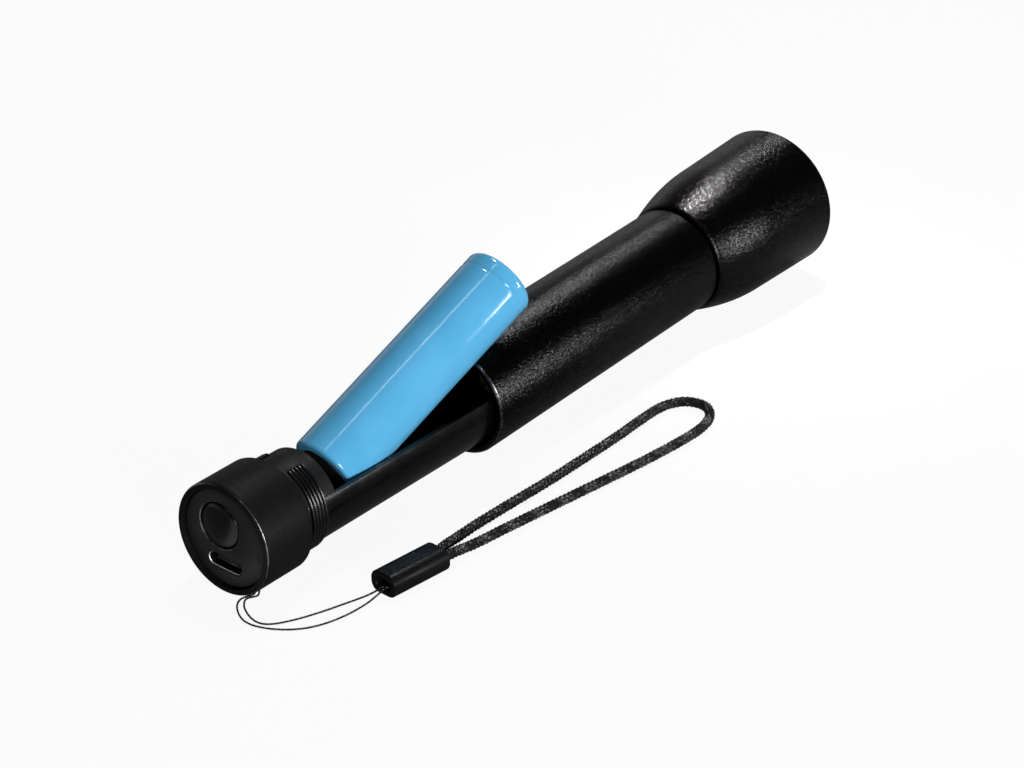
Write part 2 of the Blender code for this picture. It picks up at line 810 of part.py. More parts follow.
def make_cell():
    lip = cell_wrap_thickness
    groove_end = cell_length - cell_groove_from_tip + cell_groove_width
    groove_start = cell_length - cell_groove_from_tip
    groove_middle = (groove_start + groove_end) / 2
    can_radius = cell_radius - cell_wrap_thickness - seat_gap
    mouth_radius = cell_vent_ring_radius + seat_gap
    rounding = cell_end_rounding
    top = arc((cell_length - rounding, cell_radius - rounding), rounding, pi / 2, 0, 3)
    bottom = arc((rounding / 2, cell_radius - rounding / 2), rounding / 2, 0, -pi / 2, 2)
    inner_top = cell_length - lip
    inner_groove = can_radius + seat_gap - cell_groove_depth
    wrap = [
        (cell_length, mouth_radius),
        *top,
        (groove_end, cell_radius),
        (groove_middle, cell_radius - cell_groove_depth),
        (groove_start, cell_radius),
        *bottom,
        (0.0, mouth_radius),
        (lip, mouth_radius),
        (lip, can_radius + seat_gap - rounding / 2),
        (rounding / 2, can_radius + seat_gap),
        (groove_start, can_radius + seat_gap),
        (groove_middle, inner_groove),
        (groove_end, can_radius + seat_gap),
        (cell_length - rounding, can_radius + seat_gap),
        (inner_top, can_radius + seat_gap - rounding),
        (inner_top, mouth_radius),
    ]
    turned("cell_wrap", wrap, cell, blue_wrap, shell_steps)
    can_start = lip + seat_gap
    can_end = cell_length - lip - seat_gap
    can = [
        (can_end - cell_cap_height, 0.0),
        (can_end - cell_cap_height, cell_vent_ring_radius),
        (can_end, cell_vent_ring_radius),
        (can_end, can_radius - rounding),
        (cell_length - rounding - seat_gap, can_radius),
        (groove_end, can_radius),
        (groove_middle, can_radius - cell_groove_depth),
        (groove_start, can_radius),
        (can_start + rounding / 2, can_radius),
        (can_start, can_radius - rounding),
        (can_start, cell_vent_ring_radius),
        (can_start + cell_tail_disc_thickness, cell_vent_ring_radius),
        (can_start + cell_tail_disc_thickness, 0.0),
    ]
    turned("cell_can", can, cell, nickel, small_steps, closed=False)
    disc_radius_here = cell_vent_ring_radius - seat_gap
    plate_end = can_start + cell_tail_disc_thickness - seat_gap
    plate = [
        (plate_end, 0.0), (plate_end, disc_radius_here), (0.0, disc_radius_here), (0.0, 0.0),
    ]
    turned("cell_protection_board", plate, cell, board_green, small_steps, closed=False)
    ring_start = can_end - cell_cap_height + seat_gap
    ring_end = cell_length - lip
    ring = [
        (ring_end, cell_cap_radius + seat_gap),
        (ring_end, disc_radius_here),
        (ring_start, disc_radius_here),
        (ring_start, cell_cap_radius + seat_gap),
    ]
    turned("cell_insulator", ring, cell, ring_paper, small_steps)
    cap = [
        (ring_end + seat_gap, 0.0),
        (ring_end + seat_gap, cell_cap_radius - seat_gap),
        (ring_end, cell_cap_radius),
        (ring_start, cell_cap_radius),
        (ring_start, 0.0),
    ]
    turned("cell_positive_cap", cap, cell, nickel, small_steps, closed=False)


def make_barrel():
    seat_radius = barrel_neck_radius - stop_ring_seat_depth
    groove_start = barrel_length + o_ring_station
    groove_end = groove_start + o_ring_groove_width
    profile = [
        (barrel_neck_end, barrel_neck_bore_radius),
        (barrel_neck_end, seat_radius),
        (stop_ring_station - seat_gap, seat_radius),
        (stop_ring_station - seat_gap, barrel_neck_radius),
        (groove_end, barrel_neck_radius),
        (groove_end, o_ring_groove_radius),
        (groove_start, o_ring_groove_radius),
        (groove_start, barrel_neck_radius),
        (barrel_length, barrel_neck_radius),
        (barrel_length, barrel_radius - barrel_front_chamfer),
        (barrel_length - barrel_front_chamfer, barrel_radius),
        (barrel_rear_chamfer, barrel_radius),
        (0.0, barrel_radius - barrel_rear_chamfer),
        (0.0, barrel_bore_radius + barrel_rear_chamfer / 2),
        (barrel_rear_chamfer / 2, barrel_bore_radius),
        (barrel_bore_length, barrel_bore_radius),
        (barrel_bore_length, barrel_neck_bore_radius),
    ]
    turned("barrel", profile, sleeve, anodised, shell_steps)
    major = o_ring_groove_radius + seat_gap / 2 + o_ring_wire_radius
    middle = (groove_start + groove_end) / 2
    ring = arc((middle, major), o_ring_wire_radius, 0, -2 * pi, 6)[:-1]
    turned("neck_o_ring", ring, sleeve, black_rubber, ring_steps)
    inner = seat_radius + seat_gap
    end = stop_ring_station + stop_ring_thickness
    stop = [
        (end, inner), (end, stop_ring_radius),
        (stop_ring_station, stop_ring_radius), (stop_ring_station, inner),
    ]
    turned("neck_stop_ring", stop, sleeve, raw_aluminium, ring_steps)


def make_light_engine():
    pill = [
        (pill_end_station, 0.0),
        (pill_end_station, pill_flange_radius),
        (pill_front_station, pill_flange_radius),
        (pill_front_station, pill_radius),
        (pill_rear_station, pill_radius),
        (pill_rear_station, 0.0),
    ]
    turned("led_pill", pill, sleeve, raw_aluminium, ring_steps, closed=False)
    driver = [
        (driver_station + driver_thickness, 0.0),
        (driver_station + driver_thickness, pill_radius),
        (driver_station, pill_radius),
        (driver_station, 0.0),
    ]
    turned("driver_board", driver, sleeve, board_green, ring_steps, closed=False)
    coil_spring(
        "driver_spring", driver_station - seat_gap - driver_spring_length, driver_spring_length,
        driver_spring_radius, driver_spring_turns, spring_wire_radius, sleeve, spring_steel,
    )
    star = [
        (led_board_station + led_board_thickness, 0.0),
        (led_board_station + led_board_thickness, led_board_radius),
        (led_board_station, led_board_radius),
        (led_board_station, 0.0),
    ]
    turned("led_board", star, sleeve, board_white, small_steps, closed=False)
    base = box(
        "led_emitter", (led_size, led_size, led_base_thickness),
        (0, 0, led_station + led_base_thickness / 2), sleeve, phosphor,
    )
    dome_center = led_station + led_base_thickness - 0.0002
    dome = [(dome_center + led_dome_radius, 0.0)]
    dome += [
        (dome_center + led_dome_radius * cos(pi / 2 * i / 5), led_dome_radius * sin(pi / 2 * i / 5))
        for i in range(1, 6)
    ]
    dome.append((dome_center - 0.0002, led_dome_radius))
    dome.append((dome_center - 0.0002, 0.0))
    bulge = turned("led_dome_union", dome, sleeve, None, 20, closed=False, group=cutters)
    cut(base, bulge, operation="UNION")


def head_outline(part_way):
    """Outer radius of the flare, part_way from the rear edge to the crease."""
    rise = head_crease_radius - head_rear_radius
    return head_rear_radius + rise * (1 - (1 - part_way) ** head_flare_power)


def make_head():
    crease_station = head_station + head_flare_length
    flare_count = 8
    flare = []
    for i in range(flare_count, 0, -1):
        part_way = i / flare_count
        flare.append((head_station + head_flare_length * part_way, head_outline(part_way)))
    chamfer_share = head_rear_chamfer / head_flare_length
    flare.append((head_station + head_rear_chamfer, head_outline(chamfer_share)))
    flare.append((head_station, head_rear_radius - head_rear_chamfer))
    rounding = arc((rounding_station, rounding_radius), head_front_rounding, pi / 2, 0, 3)
    lip_start = rounding_radius - head_front_lip
    profile = [
        (head_end_station, lip_start),
        *rounding,
        *flare,
        (head_station, head_rear_bore_radius),
        (head_station + head_rear_bore_length, head_rear_bore_radius),
        (head_station + head_rear_bore_length, head_chamber_radius),
        (lens_seat_station, head_chamber_radius),
        (lens_seat_station, head_lens_bore_radius),
        (head_end_station - (lip_start - head_lens_bore_radius), head_lens_bore_radius),
    ]
    turned("head_shell", profile, sleeve, anodised, shell_steps)
    gasket = [
        (gasket_station + gasket_thickness, lens_radius - gasket_width),
        (gasket_station + gasket_thickness, lens_radius),
        (gasket_station, lens_radius),
        (gasket_station, lens_radius - gasket_width),
    ]
    turned("lens_gasket", gasket, sleeve, black_rubber, ring_steps)
    crown_radius = (lens_dome_radius ** 2 + lens_crown_height ** 2) / (2 * lens_crown_height)
    crown_center = lens_edge_station + lens_crown_height - crown_radius
    half_angle = acos((lens_edge_station - crown_center) / crown_radius)
    crown = [
        (crown_center + crown_radius * cos(half_angle * i / 6),
         crown_radius * sin(half_angle * i / 6))
        for i in range(7)
    ]
    lens = [
        *crown,
        (lens_edge_station, lens_radius),
        (lens_station, lens_radius),
        (lens_station, 0.0),
    ]
    turned("lens", lens, sleeve, clear_plastic, ring_steps, closed=False)
    ring_end = lens_ring_station + lens_ring_thickness
    ring = [
        (ring_end, lens_radius - lens_ring_width),
        (ring_end, lens_radius),
        (lens_ring_station, lens_radius),
        (lens_ring_station, lens_radius - lens_ring_width),
    ]
    turned("lens_ring", ring, sleeve, anodised, ring_steps)


def bead_point(along, sideways, up):
    """A world point in the bead: along its length from the string end, to its left, and up."""
    left = Vector((-bead_heading.y, bead_heading.x, 0.0))
    return bead_start + bead_heading * along + left * sideways + Vector((0, 0, up))


def hole_route(axis_point, direction, across, side):
    """One strand's way out of the lanyard hole, bent rearwards along the cap's underside."""
    offset = side * string_spacing
    floor_reach = (tail_axis_height - string_radius + offset * across.z) / -direction.z
    bend_start = floor_reach - string_bend_radius
    inside = cap_bore_radius + string_radius / 4
    base = axis_point + across * offset
    points = [base + direction * inside, base + direction * (inside + bend_start) / 2]
    for i in range(4):
        angle = pi / 2 * i / 3
        points.append(
            base + direction * (bend_start + string_bend_radius * sin(angle))
            + Vector((string_bend_radius * (cos(angle) - 1), 0.0, 0.0))
        )
    return points


def make_strap():
    bead_frame = new_frame(
        "bead_frame", bead_start, (0, pi / 2, atan2(bead_heading.y, bead_heading.x))
    )
    bead = outline_slab(
        "strap_bead", rounded_outline(bead_width, bead_height, 0.0, bead_corner),
        0.0, bead_length, bead_frame, black_plastic,
    )
    bevel = bead.modifiers.new("rounding", "BEVEL")
    bevel.width = bead_rounding
    bevel.segments = 2
    bevel.limit_method = "ANGLE"
    bevel.angle_limit = radians(60)
    string_socket = outline_slab(
        "string_socket_cutter", obround(string_socket_width, string_socket_height, 0.0),
        -bead_socket_depth, string_socket_depth, bead_frame, None, cutters,
    )
    socket_height = 2 * (braid_radius + seat_gap)
    braid_socket = outline_slab(
        "braid_socket_cutter", obround(braid_spacing + socket_height, socket_height, 0.0, 4),
        bead_length - bead_socket_depth, bead_length + bead_socket_depth, bead_frame, None, cutters,
    )
    cut(bead, string_socket, braid_socket)
    direction = Vector((0.0, -sin(lanyard_hole_angle), -cos(lanyard_hole_angle)))
    across = Vector((0.0, cos(lanyard_hole_angle), -sin(lanyard_hole_angle)))
    axis_point = Vector((tail_x + lanyard_hole_station, 0.0, tail_axis_height))
    drop = -string_socket_height / 5
    middle = -0.12 * string_socket_width
    turn_depth = string_socket_depth - seat_gap - string_radius - string_bend_radius
    turn = [
        bead_point(turn_depth + string_bend_radius * sin(pi * i / 4),
                   middle / 2 - string_bend_radius * cos(pi * i / 4), drop)
        for i in range(5)
    ]
    route = [
        *hole_route(axis_point, direction, across, 0.5),
        *string_route_out,
        bead_point(0.0, middle - 0.43 * string_spacing, drop),
        bead_point(turn_depth / 2, middle - string_spacing, drop),
        *turn,
        bead_point(turn_depth / 2, middle + string_spacing, drop),
        bead_point(0.0, middle + 0.43 * string_spacing, drop),
        *string_route_back,
        *reversed(hole_route(axis_point, direction, across, -0.5)),
    ]
    points = smooth_route(route, string_point_spacing)
    print(f"strap_string: {len(points)} points")
    tube("strap_string", points, string_radius, world, black_cord, 2)
    knot_end = cap_bore_radius - seat_gap
    knot_frame = new_frame("knot_frame", axis_point, (0, 0, 0))
    knot_frame.rotation_euler = direction.to_track_quat("Z", "X").to_euler()
    rounding = knot_thickness / 3
    knot = [
        (knot_end, 0.0),
        (knot_end, knot_radius - rounding),
        (knot_end - rounding, knot_radius),
        (knot_end - 2 * rounding, knot_radius),
        (knot_end - knot_thickness, knot_radius - rounding),
        (knot_end - knot_thickness, 0.0),
    ]
    turned("strap_knot", knot, knot_frame, black_cord, 12, closed=False)
    depth = bead_length - bead_socket_depth + seat_gap
    loop = [
        bead_point(depth, braid_spacing / 2, 0.0),
        bead_point(bead_length, braid_spacing / 2, 0.0),
        *loop_route,
        bead_point(bead_length, -braid_spacing / 2, 0.0),
        bead_point(depth, -braid_spacing / 2, 0.0),
    ]
    points = smooth_route(loop, braid_point_spacing, braid_point_turn)
    print(f"strap_loop: {len(points)} points")
    tube("strap_loop", points, braid_radius, world, black_cord, 2)


make_tail_cap()
make_tail_disc()
make_button()
make_switch()
make_charging_port()
make_charging_board()
make_battery_tray()
make_contacts()
make_cell()
make_barrel()
make_light_engine()
make_head()
make_strap()
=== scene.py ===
from math import acos, atan2, cos, dist, hypot, pi, radians, sin

import bmesh
import bpy
from mathutils import Euler, Matrix, Vector


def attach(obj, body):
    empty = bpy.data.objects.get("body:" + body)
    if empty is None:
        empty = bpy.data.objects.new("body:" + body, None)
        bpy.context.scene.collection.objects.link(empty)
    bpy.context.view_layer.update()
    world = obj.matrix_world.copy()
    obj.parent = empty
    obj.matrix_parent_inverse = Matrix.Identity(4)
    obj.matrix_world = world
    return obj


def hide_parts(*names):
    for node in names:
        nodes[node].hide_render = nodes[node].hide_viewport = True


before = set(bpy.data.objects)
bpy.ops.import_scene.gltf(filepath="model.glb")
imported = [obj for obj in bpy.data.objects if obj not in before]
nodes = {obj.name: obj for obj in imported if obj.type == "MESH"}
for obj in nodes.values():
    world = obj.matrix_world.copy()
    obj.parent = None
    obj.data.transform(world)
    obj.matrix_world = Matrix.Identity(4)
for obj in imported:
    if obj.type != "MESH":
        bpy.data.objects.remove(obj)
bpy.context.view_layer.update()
scene = bpy.context.scene
scene.view_settings.view_transform = "Standard"

# Where the frames stand, as the model has them
tail_x = -0.1120415
axis_height = 0.0143692
rim_x = -0.0271415
barrel_play = 0.0002
sleeve_tilt = 0.038
button_height = 0.0027
button_sideways = 0.0017

# Stations and radii that several pieces share
seat_gap = 0.0003
cap_radius = 0.0144
cap_bore_radius = 0.0113
recess_radius = 0.0128
recess_depth = 0.00275
tray_radius = 0.0119
trough_radius = 0.0101
spigot_start = 0.0123
window_station = 0.0272
window_end = 0.0951
pocket_end = 0.0991
barrel_radius = 0.0146
barrel_length = 0.091
barrel_bore_radius = 0.01295
neck_radius = 0.0134
neck_end = 0.112
lamp_bore_radius = 0.0114
cell_radius = 0.00935
cell_length = 0.0673
bead_length = 0.0179


def place_of(x=0, y=0, z=0, pitch=0, turn=0):
    return Matrix.Translation((x, y, z)) @ Euler((0, pitch, turn)).to_matrix().to_4x4()


tail_place = place_of(tail_x, 0, axis_height) @ Matrix.Rotation(pi / 2, 4, "Y")
button_place = tail_place @ place_of(-button_height, button_sideways)
port_spot = place_of(0.007, 0.001) @ Matrix.Rotation(0.0873, 4, "Z")
sleeve_place = place_of(rim_x, 0, axis_height + barrel_play)
sleeve_place @= Matrix.Rotation(pi / 2 - sleeve_tilt, 4, "Y")
cell_place = place_of(
    tail_x + window_station + 0.0094, 0.0007, axis_height + 0.00175, pi / 2 - 0.45, -0.1226
)
bead_start = Vector((-0.0915, -0.0305, 0.0029))
bead_heading = Vector((0.9936, -0.1133, 0)).normalized()
bead_place = place_of(*bead_start, pi / 2, atan2(bead_heading.y, bead_heading.x))


def turn_to(thing, right, back):
    """Links a camera or lamp, turned so that it looks away from back."""
    right = (right - back * right.dot(back)).normalized()
    thing.rotation_mode = "QUATERNION"
    turned_axes = Matrix((right, back.cross(right), back)).transposed()
    thing.rotation_quaternion = turned_axes.to_quaternion()
    scene.collection.objects.link(thing)


# The photograph's camera
lens_data = bpy.data.cameras.new("photo_camera")
lens_data.sensor_width = 36
lens_data.lens = 113.89
lens_data.clip_start = 0.01
lens_data.clip_end = 50
camera = bpy.data.objects.new("photo_camera", lens_data)
camera.location = (-0.56812, -0.4721, 0.3811)
turn_to(camera, Vector((0.6259, -0.7788, -0.0414)), -Vector((0.6839, 0.5736, -0.4509)).normalized())
scene.camera = camera


# Node trees, of finishes, of the studio and of repeated shapes
def add(tree, kind, inputs=None, **settings):
    """Adds a node. An input is a value, a socket, or a node for its first output."""
    kinds = [family + kind for family in ("ShaderNode", "GeometryNode", "FunctionNode")]
    made = tree.nodes.new(next(name for name in kinds if hasattr(bpy.types, name)))
    for key, value in settings.items():
        setattr(made, key, value)
    for key, value in (inputs or {}).items():
        if isinstance(value, bpy.types.Node):
            value = value.outputs[0]
        if isinstance(value, bpy.types.NodeSocket):
            tree.links.new(value, made.inputs[key])
        else:
            made.inputs[key].default_value = value
    return made


def calc(tree, operation, first, second=0):
    return add(tree, "Math", {0: first, 1: second}, operation=operation)


def vector_of(tree, **axes):
    return add(tree, "CombineXYZ", axes)


def mapped(tree, value, start, end, low, high, **settings):
    return add(tree, "MapRange", {
        "Value": value, "From Min": start, "From Max": end, "To Min": low, "To Max": high,
    }, **settings)


# Finishes. A grain is (cycles per metre, detail, and the rest of what pattern() takes).
def pattern(finish, scale, detail=2, roughness=0.5, stretch=(1, 1, 1), uv=False, cells=False):
    tree = finish.node_tree
    place = add(tree, "TexCoord").outputs["UV" if uv else "Object"]
    mapping = add(tree, "Mapping", {"Vector": place, "Scale": stretch})
    if cells:
        made = add(tree, "TexVoronoi", {"Vector": mapping, "Scale": scale})
        return made.outputs["Distance"]
    return add(tree, "TexNoise", {
        "Vector": mapping, "Scale": scale, "Detail": detail, "Roughness": roughness,
    }).outputs["Fac"]


def dress(finish, label, source):
    finish.node_tree.links.new(source, finish.node_tree.nodes["Principled BSDF"].inputs[label])


def shade_color(finish, grain, dark, light, low=0.3, high=0.7):
    ramp = add(finish.node_tree, "ValToRGB", {"Fac": pattern(finish, *grain)})
    for i, (place, color) in enumerate(((low, dark), (high, light))):
        ramp.color_ramp.elements[i].position = place
        ramp.color_ramp.elements[i].color = (*color, 1)
    dress(finish, "Base Color", ramp.outputs["Color"])


def shade_value(finish, label, grain, low, high, start=0.3, end=0.7):
    spread = mapped(finish.node_tree, pattern(finish, *grain), start, end, low, high)
    dress(finish, label, spread.outputs["Result"])


def add_relief(finish, grain, strength, distance):
    """Bump relief, over any that the finish has already."""
    below = finish.node_tree.nodes["Principled BSDF"].inputs["Normal"].links
    inputs = {"Strength": strength, "Distance": distance, "Height": pattern(finish, *grain)}
    if below:
        inputs["Normal"] = below[0].from_socket
    bump = add(finish.node_tree, "Bump", inputs)
    dress(finish, "Normal", bump.outputs["Normal"])


def new_finish(
    name, color, roughness, metallic=0, level=0.5, tones=None, dullness=None, bumps=(), **extra
):
    finish = bpy.data.materials.new(name)
    finish.use_nodes = True
    values = {
        "Base Color": (*color, 1), "Roughness": roughness, "Metallic": metallic,
        "Specular IOR Level": level, **extra,
    }
    for label, value in values.items():
        shader = finish.node_tree.nodes["Principled BSDF"]
        shader.inputs[label.replace("_", " ")].default_value = value
    if tones:
        shade_color(finish, *tones)
    if dullness:
        shade_value(finish, "Roughness", *dullness)
    for relief in bumps:
        add_relief(finish, *relief)
    return finish


def grey(level, blue=None):
    return (level, level, blue or level)


def scaled(color, share):
    return tuple(share * value for value in color)


# Shot-blasted anodised aluminium, whose fine dents sparkle
def blasted_black(name, base, roughness, grain, level):
    finish = new_finish(
        name, base, roughness, level=level, tones=((900, 3), base, scaled(base, 1.7)),
        dullness=((1600, 2), roughness - 0.06, roughness + 0.06),
        bumps=[((1800, 1.5, 0.8), grain, 0.00014)],
    )
    shade_value(
        finish, "Specular IOR Level", (2000, 1),
        level * (1 - 0.55 * grain), level * (1 + grain), 0.42, 0.62,
    )
    return finish


def moulded_black(name, base, roughness, level, flow=0.03):
    return new_finish(
        name, base, roughness, level=level, tones=((240, 4), base, scaled(base, 1.5)),
        dullness=((320, 3), 0.8 * roughness, 1.25 * roughness),
        bumps=[((130, 1), flow, 0.0004), ((5200, 2), 0.05, 0.00004)],
    )


def brushed_metal(name, base, roughness, rings=True):
    marks = (300, 2, 0.5, (1, 40, 1) if rings else (1, 1, 1), rings)
    return new_finish(
        name, base, roughness, 1, tones=((420, 4), scaled(base, 0.8), base),
        dullness=((700, 3), 0.75 * roughness, 1.4 * roughness), bumps=[(marks, 0.12, 0.00003)],
    )


def printed_board(name, base, light):
    cells = (620, 0, 0.5, (1, 1, 1), False, True)
    return new_finish(
        name, base, 0.42, tones=(cells, base, light, 0.05, 0.6), bumps=[(cells, 0.2, 0.00005)]
    )


anodised = blasted_black("black_anodised_blasted", grey(0.0004, 0.0005), 0.21, 1, 0.15)
anodised_edge = new_finish(
    "bright_cut_edge", grey(0.34, 0.35), 0.22, 1,
    tones=((1500, 3), grey(0.03), grey(0.2, 0.205), 0.35, 0.6),
)
anodised_bore = blasted_black("black_anodised_bore", grey(0.0012), 0.5, 0.2, 0.1)
worn_edge = new_finish(
    "worn_satin_edge", grey(0.1, 0.105), 0.3, 1,
    tones=((900, 3), grey(0.05, 0.052), grey(0.22, 0.23), 0.35, 0.65),
    bumps=[((2600, 2), 0.15, 0.00004)],
)
satin = new_finish(
    "satin_black_cap", grey(0.0042, 0.0046), 0.5, 0, 0.09,
    tones=((500, 3), grey(0.0034, 0.0037), grey(0.005, 0.0055)),
    dullness=((900, 3), 0.48, 0.58), bumps=[((6000, 2), 0.1, 0.00004)],
)
disc_plastic = moulded_black("satin_black_disc", grey(0.0125, 0.013), 0.44, 0.2)
tray_plastic = moulded_black("gloss_black_tray", grey(0.0012, 0.0014), 0.2, 0.25, 0.05)
thread_plastic = moulded_black("gloss_black_thread", grey(0.002, 0.0022), 0.22, 0.5, 0.04)
neck_plastic = moulded_black("satin_black_neck", grey(0.005, 0.0054), 0.52, 0.14, 0.03)
bead_plastic = moulded_black("satin_black_bead", grey(0.0032, 0.0034), 0.4, 0.1, 0.04)
inner_plastic = moulded_black("black_inner_plastic", grey(0.004), 0.4, 0.25)
# painted shade: a near-black finish for the port's nickel shell, standing in for the shade inside
# the slot
port_painted_shade = moulded_black("port_shade_painted_dark", grey(0.0015), 0.5, 0.05)
rubber = new_finish(
    "black_rubber", grey(0.0006), 0.24, 0, 0.32, tones=((380, 3), grey(0.0012), grey(0.002)),
    dullness=((900, 2), 0.2, 0.29), bumps=[((4200, 2), 0.08, 0.00004)],
)
blue_film = new_finish(
    "blue_shrink_film", (0.09, 0.385, 0.655), 0.12,
    tones=((90, 3), (0.08, 0.365, 0.63), (0.1, 0.405, 0.68)), dullness=((500, 3), 0.09, 0.15),
    bumps=[((60, 2, 0.5, (1, 1, 0.2)), 0.05, 0.0005), ((1500, 3), 0.03, 0.00005)],
)
port_lip = brushed_metal("dull_nickel_lip", (0.8, 0.79, 0.76), 0.46)
nickel = brushed_metal("bright_nickel", (0.66, 0.64, 0.6), 0.24)
brass = brushed_metal("brass_strip", (0.74, 0.56, 0.3), 0.3, rings=False)
steel = brushed_metal("spring_steel", grey(0.62, 0.63), 0.26, rings=False)
raw_aluminium = brushed_metal("raw_aluminium", grey(0.74, 0.75), 0.34)
green_board = printed_board("green_board", (0.018, 0.085, 0.04), (0.035, 0.15, 0.07))
black_board = printed_board("black_board", grey(0.004), grey(0.008))
white_board = printed_board("white_board", grey(0.62, 0.6), grey(0.8, 0.78))
gold_pad = brushed_metal("gold_pad", (0.83, 0.62, 0.28), 0.3, rings=False)
paper = new_finish(
    "white_insulator_paper", grey(0.78, 0.75), 0.75,
    tones=((1100, 5), grey(0.68, 0.65), grey(0.82, 0.8)), bumps=[((2600, 5), 0.25, 0.00005)],
)
phosphor = new_finish(
    "phosphor_yellow", (0.85, 0.66, 0.1), 0.35,
    tones=((2400, 3), (0.8, 0.58, 0.06), (0.9, 0.72, 0.16)),
)
clear = new_finish(
    "clear_lens", (0.96, 0.98, 0.98), 0.02, bumps=[((40, 1), 0.01, 0.0002)],
    Transmission_Weight=1, IOR=1.49,
)
braid_yarn = new_finish(
    "black_braid_yarn", grey(0.002), 0.34, 0, 0.45,
    tones=((3200, 4), grey(0.0006), grey(0.014, 0.0143), 0.5, 0.7),
    dullness=((2600, 3), 0.28, 0.48), bumps=[((5200, 3), 0.5, 0.00008)], Sheen_Weight=0.02,
)


# Making pieces
def mesh_of(shape):
    bmesh.ops.recalc_face_normals(shape, faces=shape.faces)
    mesh = bpy.data.meshes.new("shape")
    shape.to_mesh(mesh)
    shape.free()
    return mesh


def link(name, mesh, place, finishes, owner, smooth=35):
    """A piece with its place in its mesh, owned by (body, the node it replaces or None, slot); the
    slot is not used.
    """
    body, replaced, slot = owner
    mesh.transform(place)
    chosen = [face.material_index for face in mesh.polygons]
    mesh.materials.clear()
    for finish in finishes:
        mesh.materials.append(finish)
    mesh.polygons.foreach_set("material_index", chosen)
    shape = bmesh.new()
    shape.from_mesh(mesh)
    for face in shape.faces:
        face.smooth = True
    for edge in shape.edges:
        edge.smooth = len(edge.link_faces) != 2 or edge.calc_face_angle(0) < radians(smooth)
    shape.to_mesh(mesh)
    shape.free()
    piece = bpy.data.objects.new(name, mesh)
    scene.collection.objects.link(piece)
    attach(piece, body)
    if replaced:
        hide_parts(replaced)
    return piece


def softened(points, size, segments=3, closed=False):
    made = []
    for i, point in enumerate(points):
        here = Vector(point)
        back = Vector(points[i - 1]) - here
        on = Vector(points[(i + 1) % len(points)]) - here
        at_end = not closed and i in (0, len(points) - 1)
        if at_end or min(back.length, on.length) < 1e-7 or pi - back.angle(on) < radians(12):
            made.append(point)
            continue
        reach = min(size, 0.42 * back.length, 0.42 * on.length)
        start, end = here + back.normalized() * reach, here + on.normalized() * reach
        for j in range(segments + 1):
            t = j / segments
            made.append(tuple(start * (1 - t) ** 2 + here * 2 * t * (1 - t) + end * t * t))
    return made


def arc(center, radius, start, end, count):
    """(station, radius) points on an arc; angle 0 points outwards, a quarter turn forwards."""
    step = (end - start) / count
    return [
        (center[0] + radius * sin(start + step * i), center[1] + radius * cos(start + step * i))
        for i in range(count + 1)
    ]


def turned_mesh(profile, steps, closed=False, band=None):
    """Turns (station, radius) points about Z. band(station, radius) picks a face's finish."""
    shape = bmesh.new()
    uv = shape.loops.layers.uv.new("around_and_along")
    rings, lengths = [], [0]
    for i, (s, r) in enumerate(profile):
        if i:
            lengths.append(lengths[-1] + dist(profile[i - 1], profile[i]))
        around = [2 * pi * k / steps for k in range(steps)] if r >= 1e-9 else [0]
        rings.append([shape.verts.new((r * cos(a), r * sin(a), s)) for a in around])
    reach = max(r for s, r in profile)

    def corners_of(ring, k, at):
        if len(ring) == 1:
            return [(ring[0], k + 0.5, at)]
        return [(ring[k], k, at), (ring[(k + 1) % steps], k + 1, at)]

    for i in range(len(profile) if closed else len(profile) - 1):
        j = (i + 1) % len(profile)
        at_end = lengths[i] + dist(profile[i], profile[j])
        middle = [(a + b) / 2 for a, b in zip(profile[i], profile[j])]
        for k in range(steps):
            corners = corners_of(rings[i], k, lengths[i]) + corners_of(rings[j], k, at_end)[::-1]
            if len(corners) < 3:
                continue
            face = shape.faces.new([corner[0] for corner in corners])
            face.material_index = band(*middle) if band else 0
            for loop, corner in zip(face.loops, corners):
                loop[uv].uv = (reach * 2 * pi * corner[1] / steps, corner[2])
    return mesh_of(shape)


def turned(name, profile, place, finishes, owner, steps=144, closed=False, band=None):
    return link(name, turned_mesh(profile, steps, closed, band), place, finishes, owner)


def rod(start, end, radius):
    return [(start, 0), (start, radius), (end, radius), (end, 0)]


def ring_section(front, rear, outer, inner=0):
    return [(front, inner), (front, outer), (rear, outer), (rear, inner)]


def rounded(width, height, corner, center=0, count=96):
    """An outline long across Y, always with the same number of points."""
    corner = min(corner, height / 2 - 1e-6, width / 2 - 1e-6)
    points = []
    per_corner = count // 4
    for quarter in range(4):
        side = 1 if quarter in (0, 1) else -1
        rise = 1 if quarter in (0, 3) else -1
        for i in range(per_corner):
            angle = pi / 2 * (quarter + i / (per_corner - 1))
            up = rise * (height / 2 - corner) + corner * cos(angle)
            left = side * (width / 2 - corner) + corner * sin(angle)
            points.append((center - up, left))
    return points


def stacked_mesh(sections, band=None):
    """Joins (outline, station) sections and closes both ends."""
    shape = bmesh.new()
    rings = [[shape.verts.new((x, y, s)) for x, y in points] for points, s in sections]
    count = len(rings[0])
    for row, (low, high) in enumerate(zip(rings, rings[1:])):
        for k in range(count):
            face = shape.faces.new([low[k], low[(k + 1) % count], high[(k + 1) % count], high[k]])
            face.material_index = band(row) if band else 0
    shape.faces.new(list(reversed(rings[0])))
    shape.faces.new(rings[-1]).material_index = band(len(rings) - 2) if band else 0
    bmesh.ops.remove_doubles(shape, verts=shape.verts, dist=1e-8)
    return mesh_of(shape)


def slab_mesh(points, bottom, top):
    return stacked_mesh([(points, bottom), (points, top)])


def block_mesh(size, center):
    shape = bmesh.new()
    bmesh.ops.create_cube(shape, size=1)
    bmesh.ops.scale(shape, vec=size, verts=shape.verts)
    bmesh.ops.translate(shape, vec=center, verts=shape.verts)
    return mesh_of(shape)


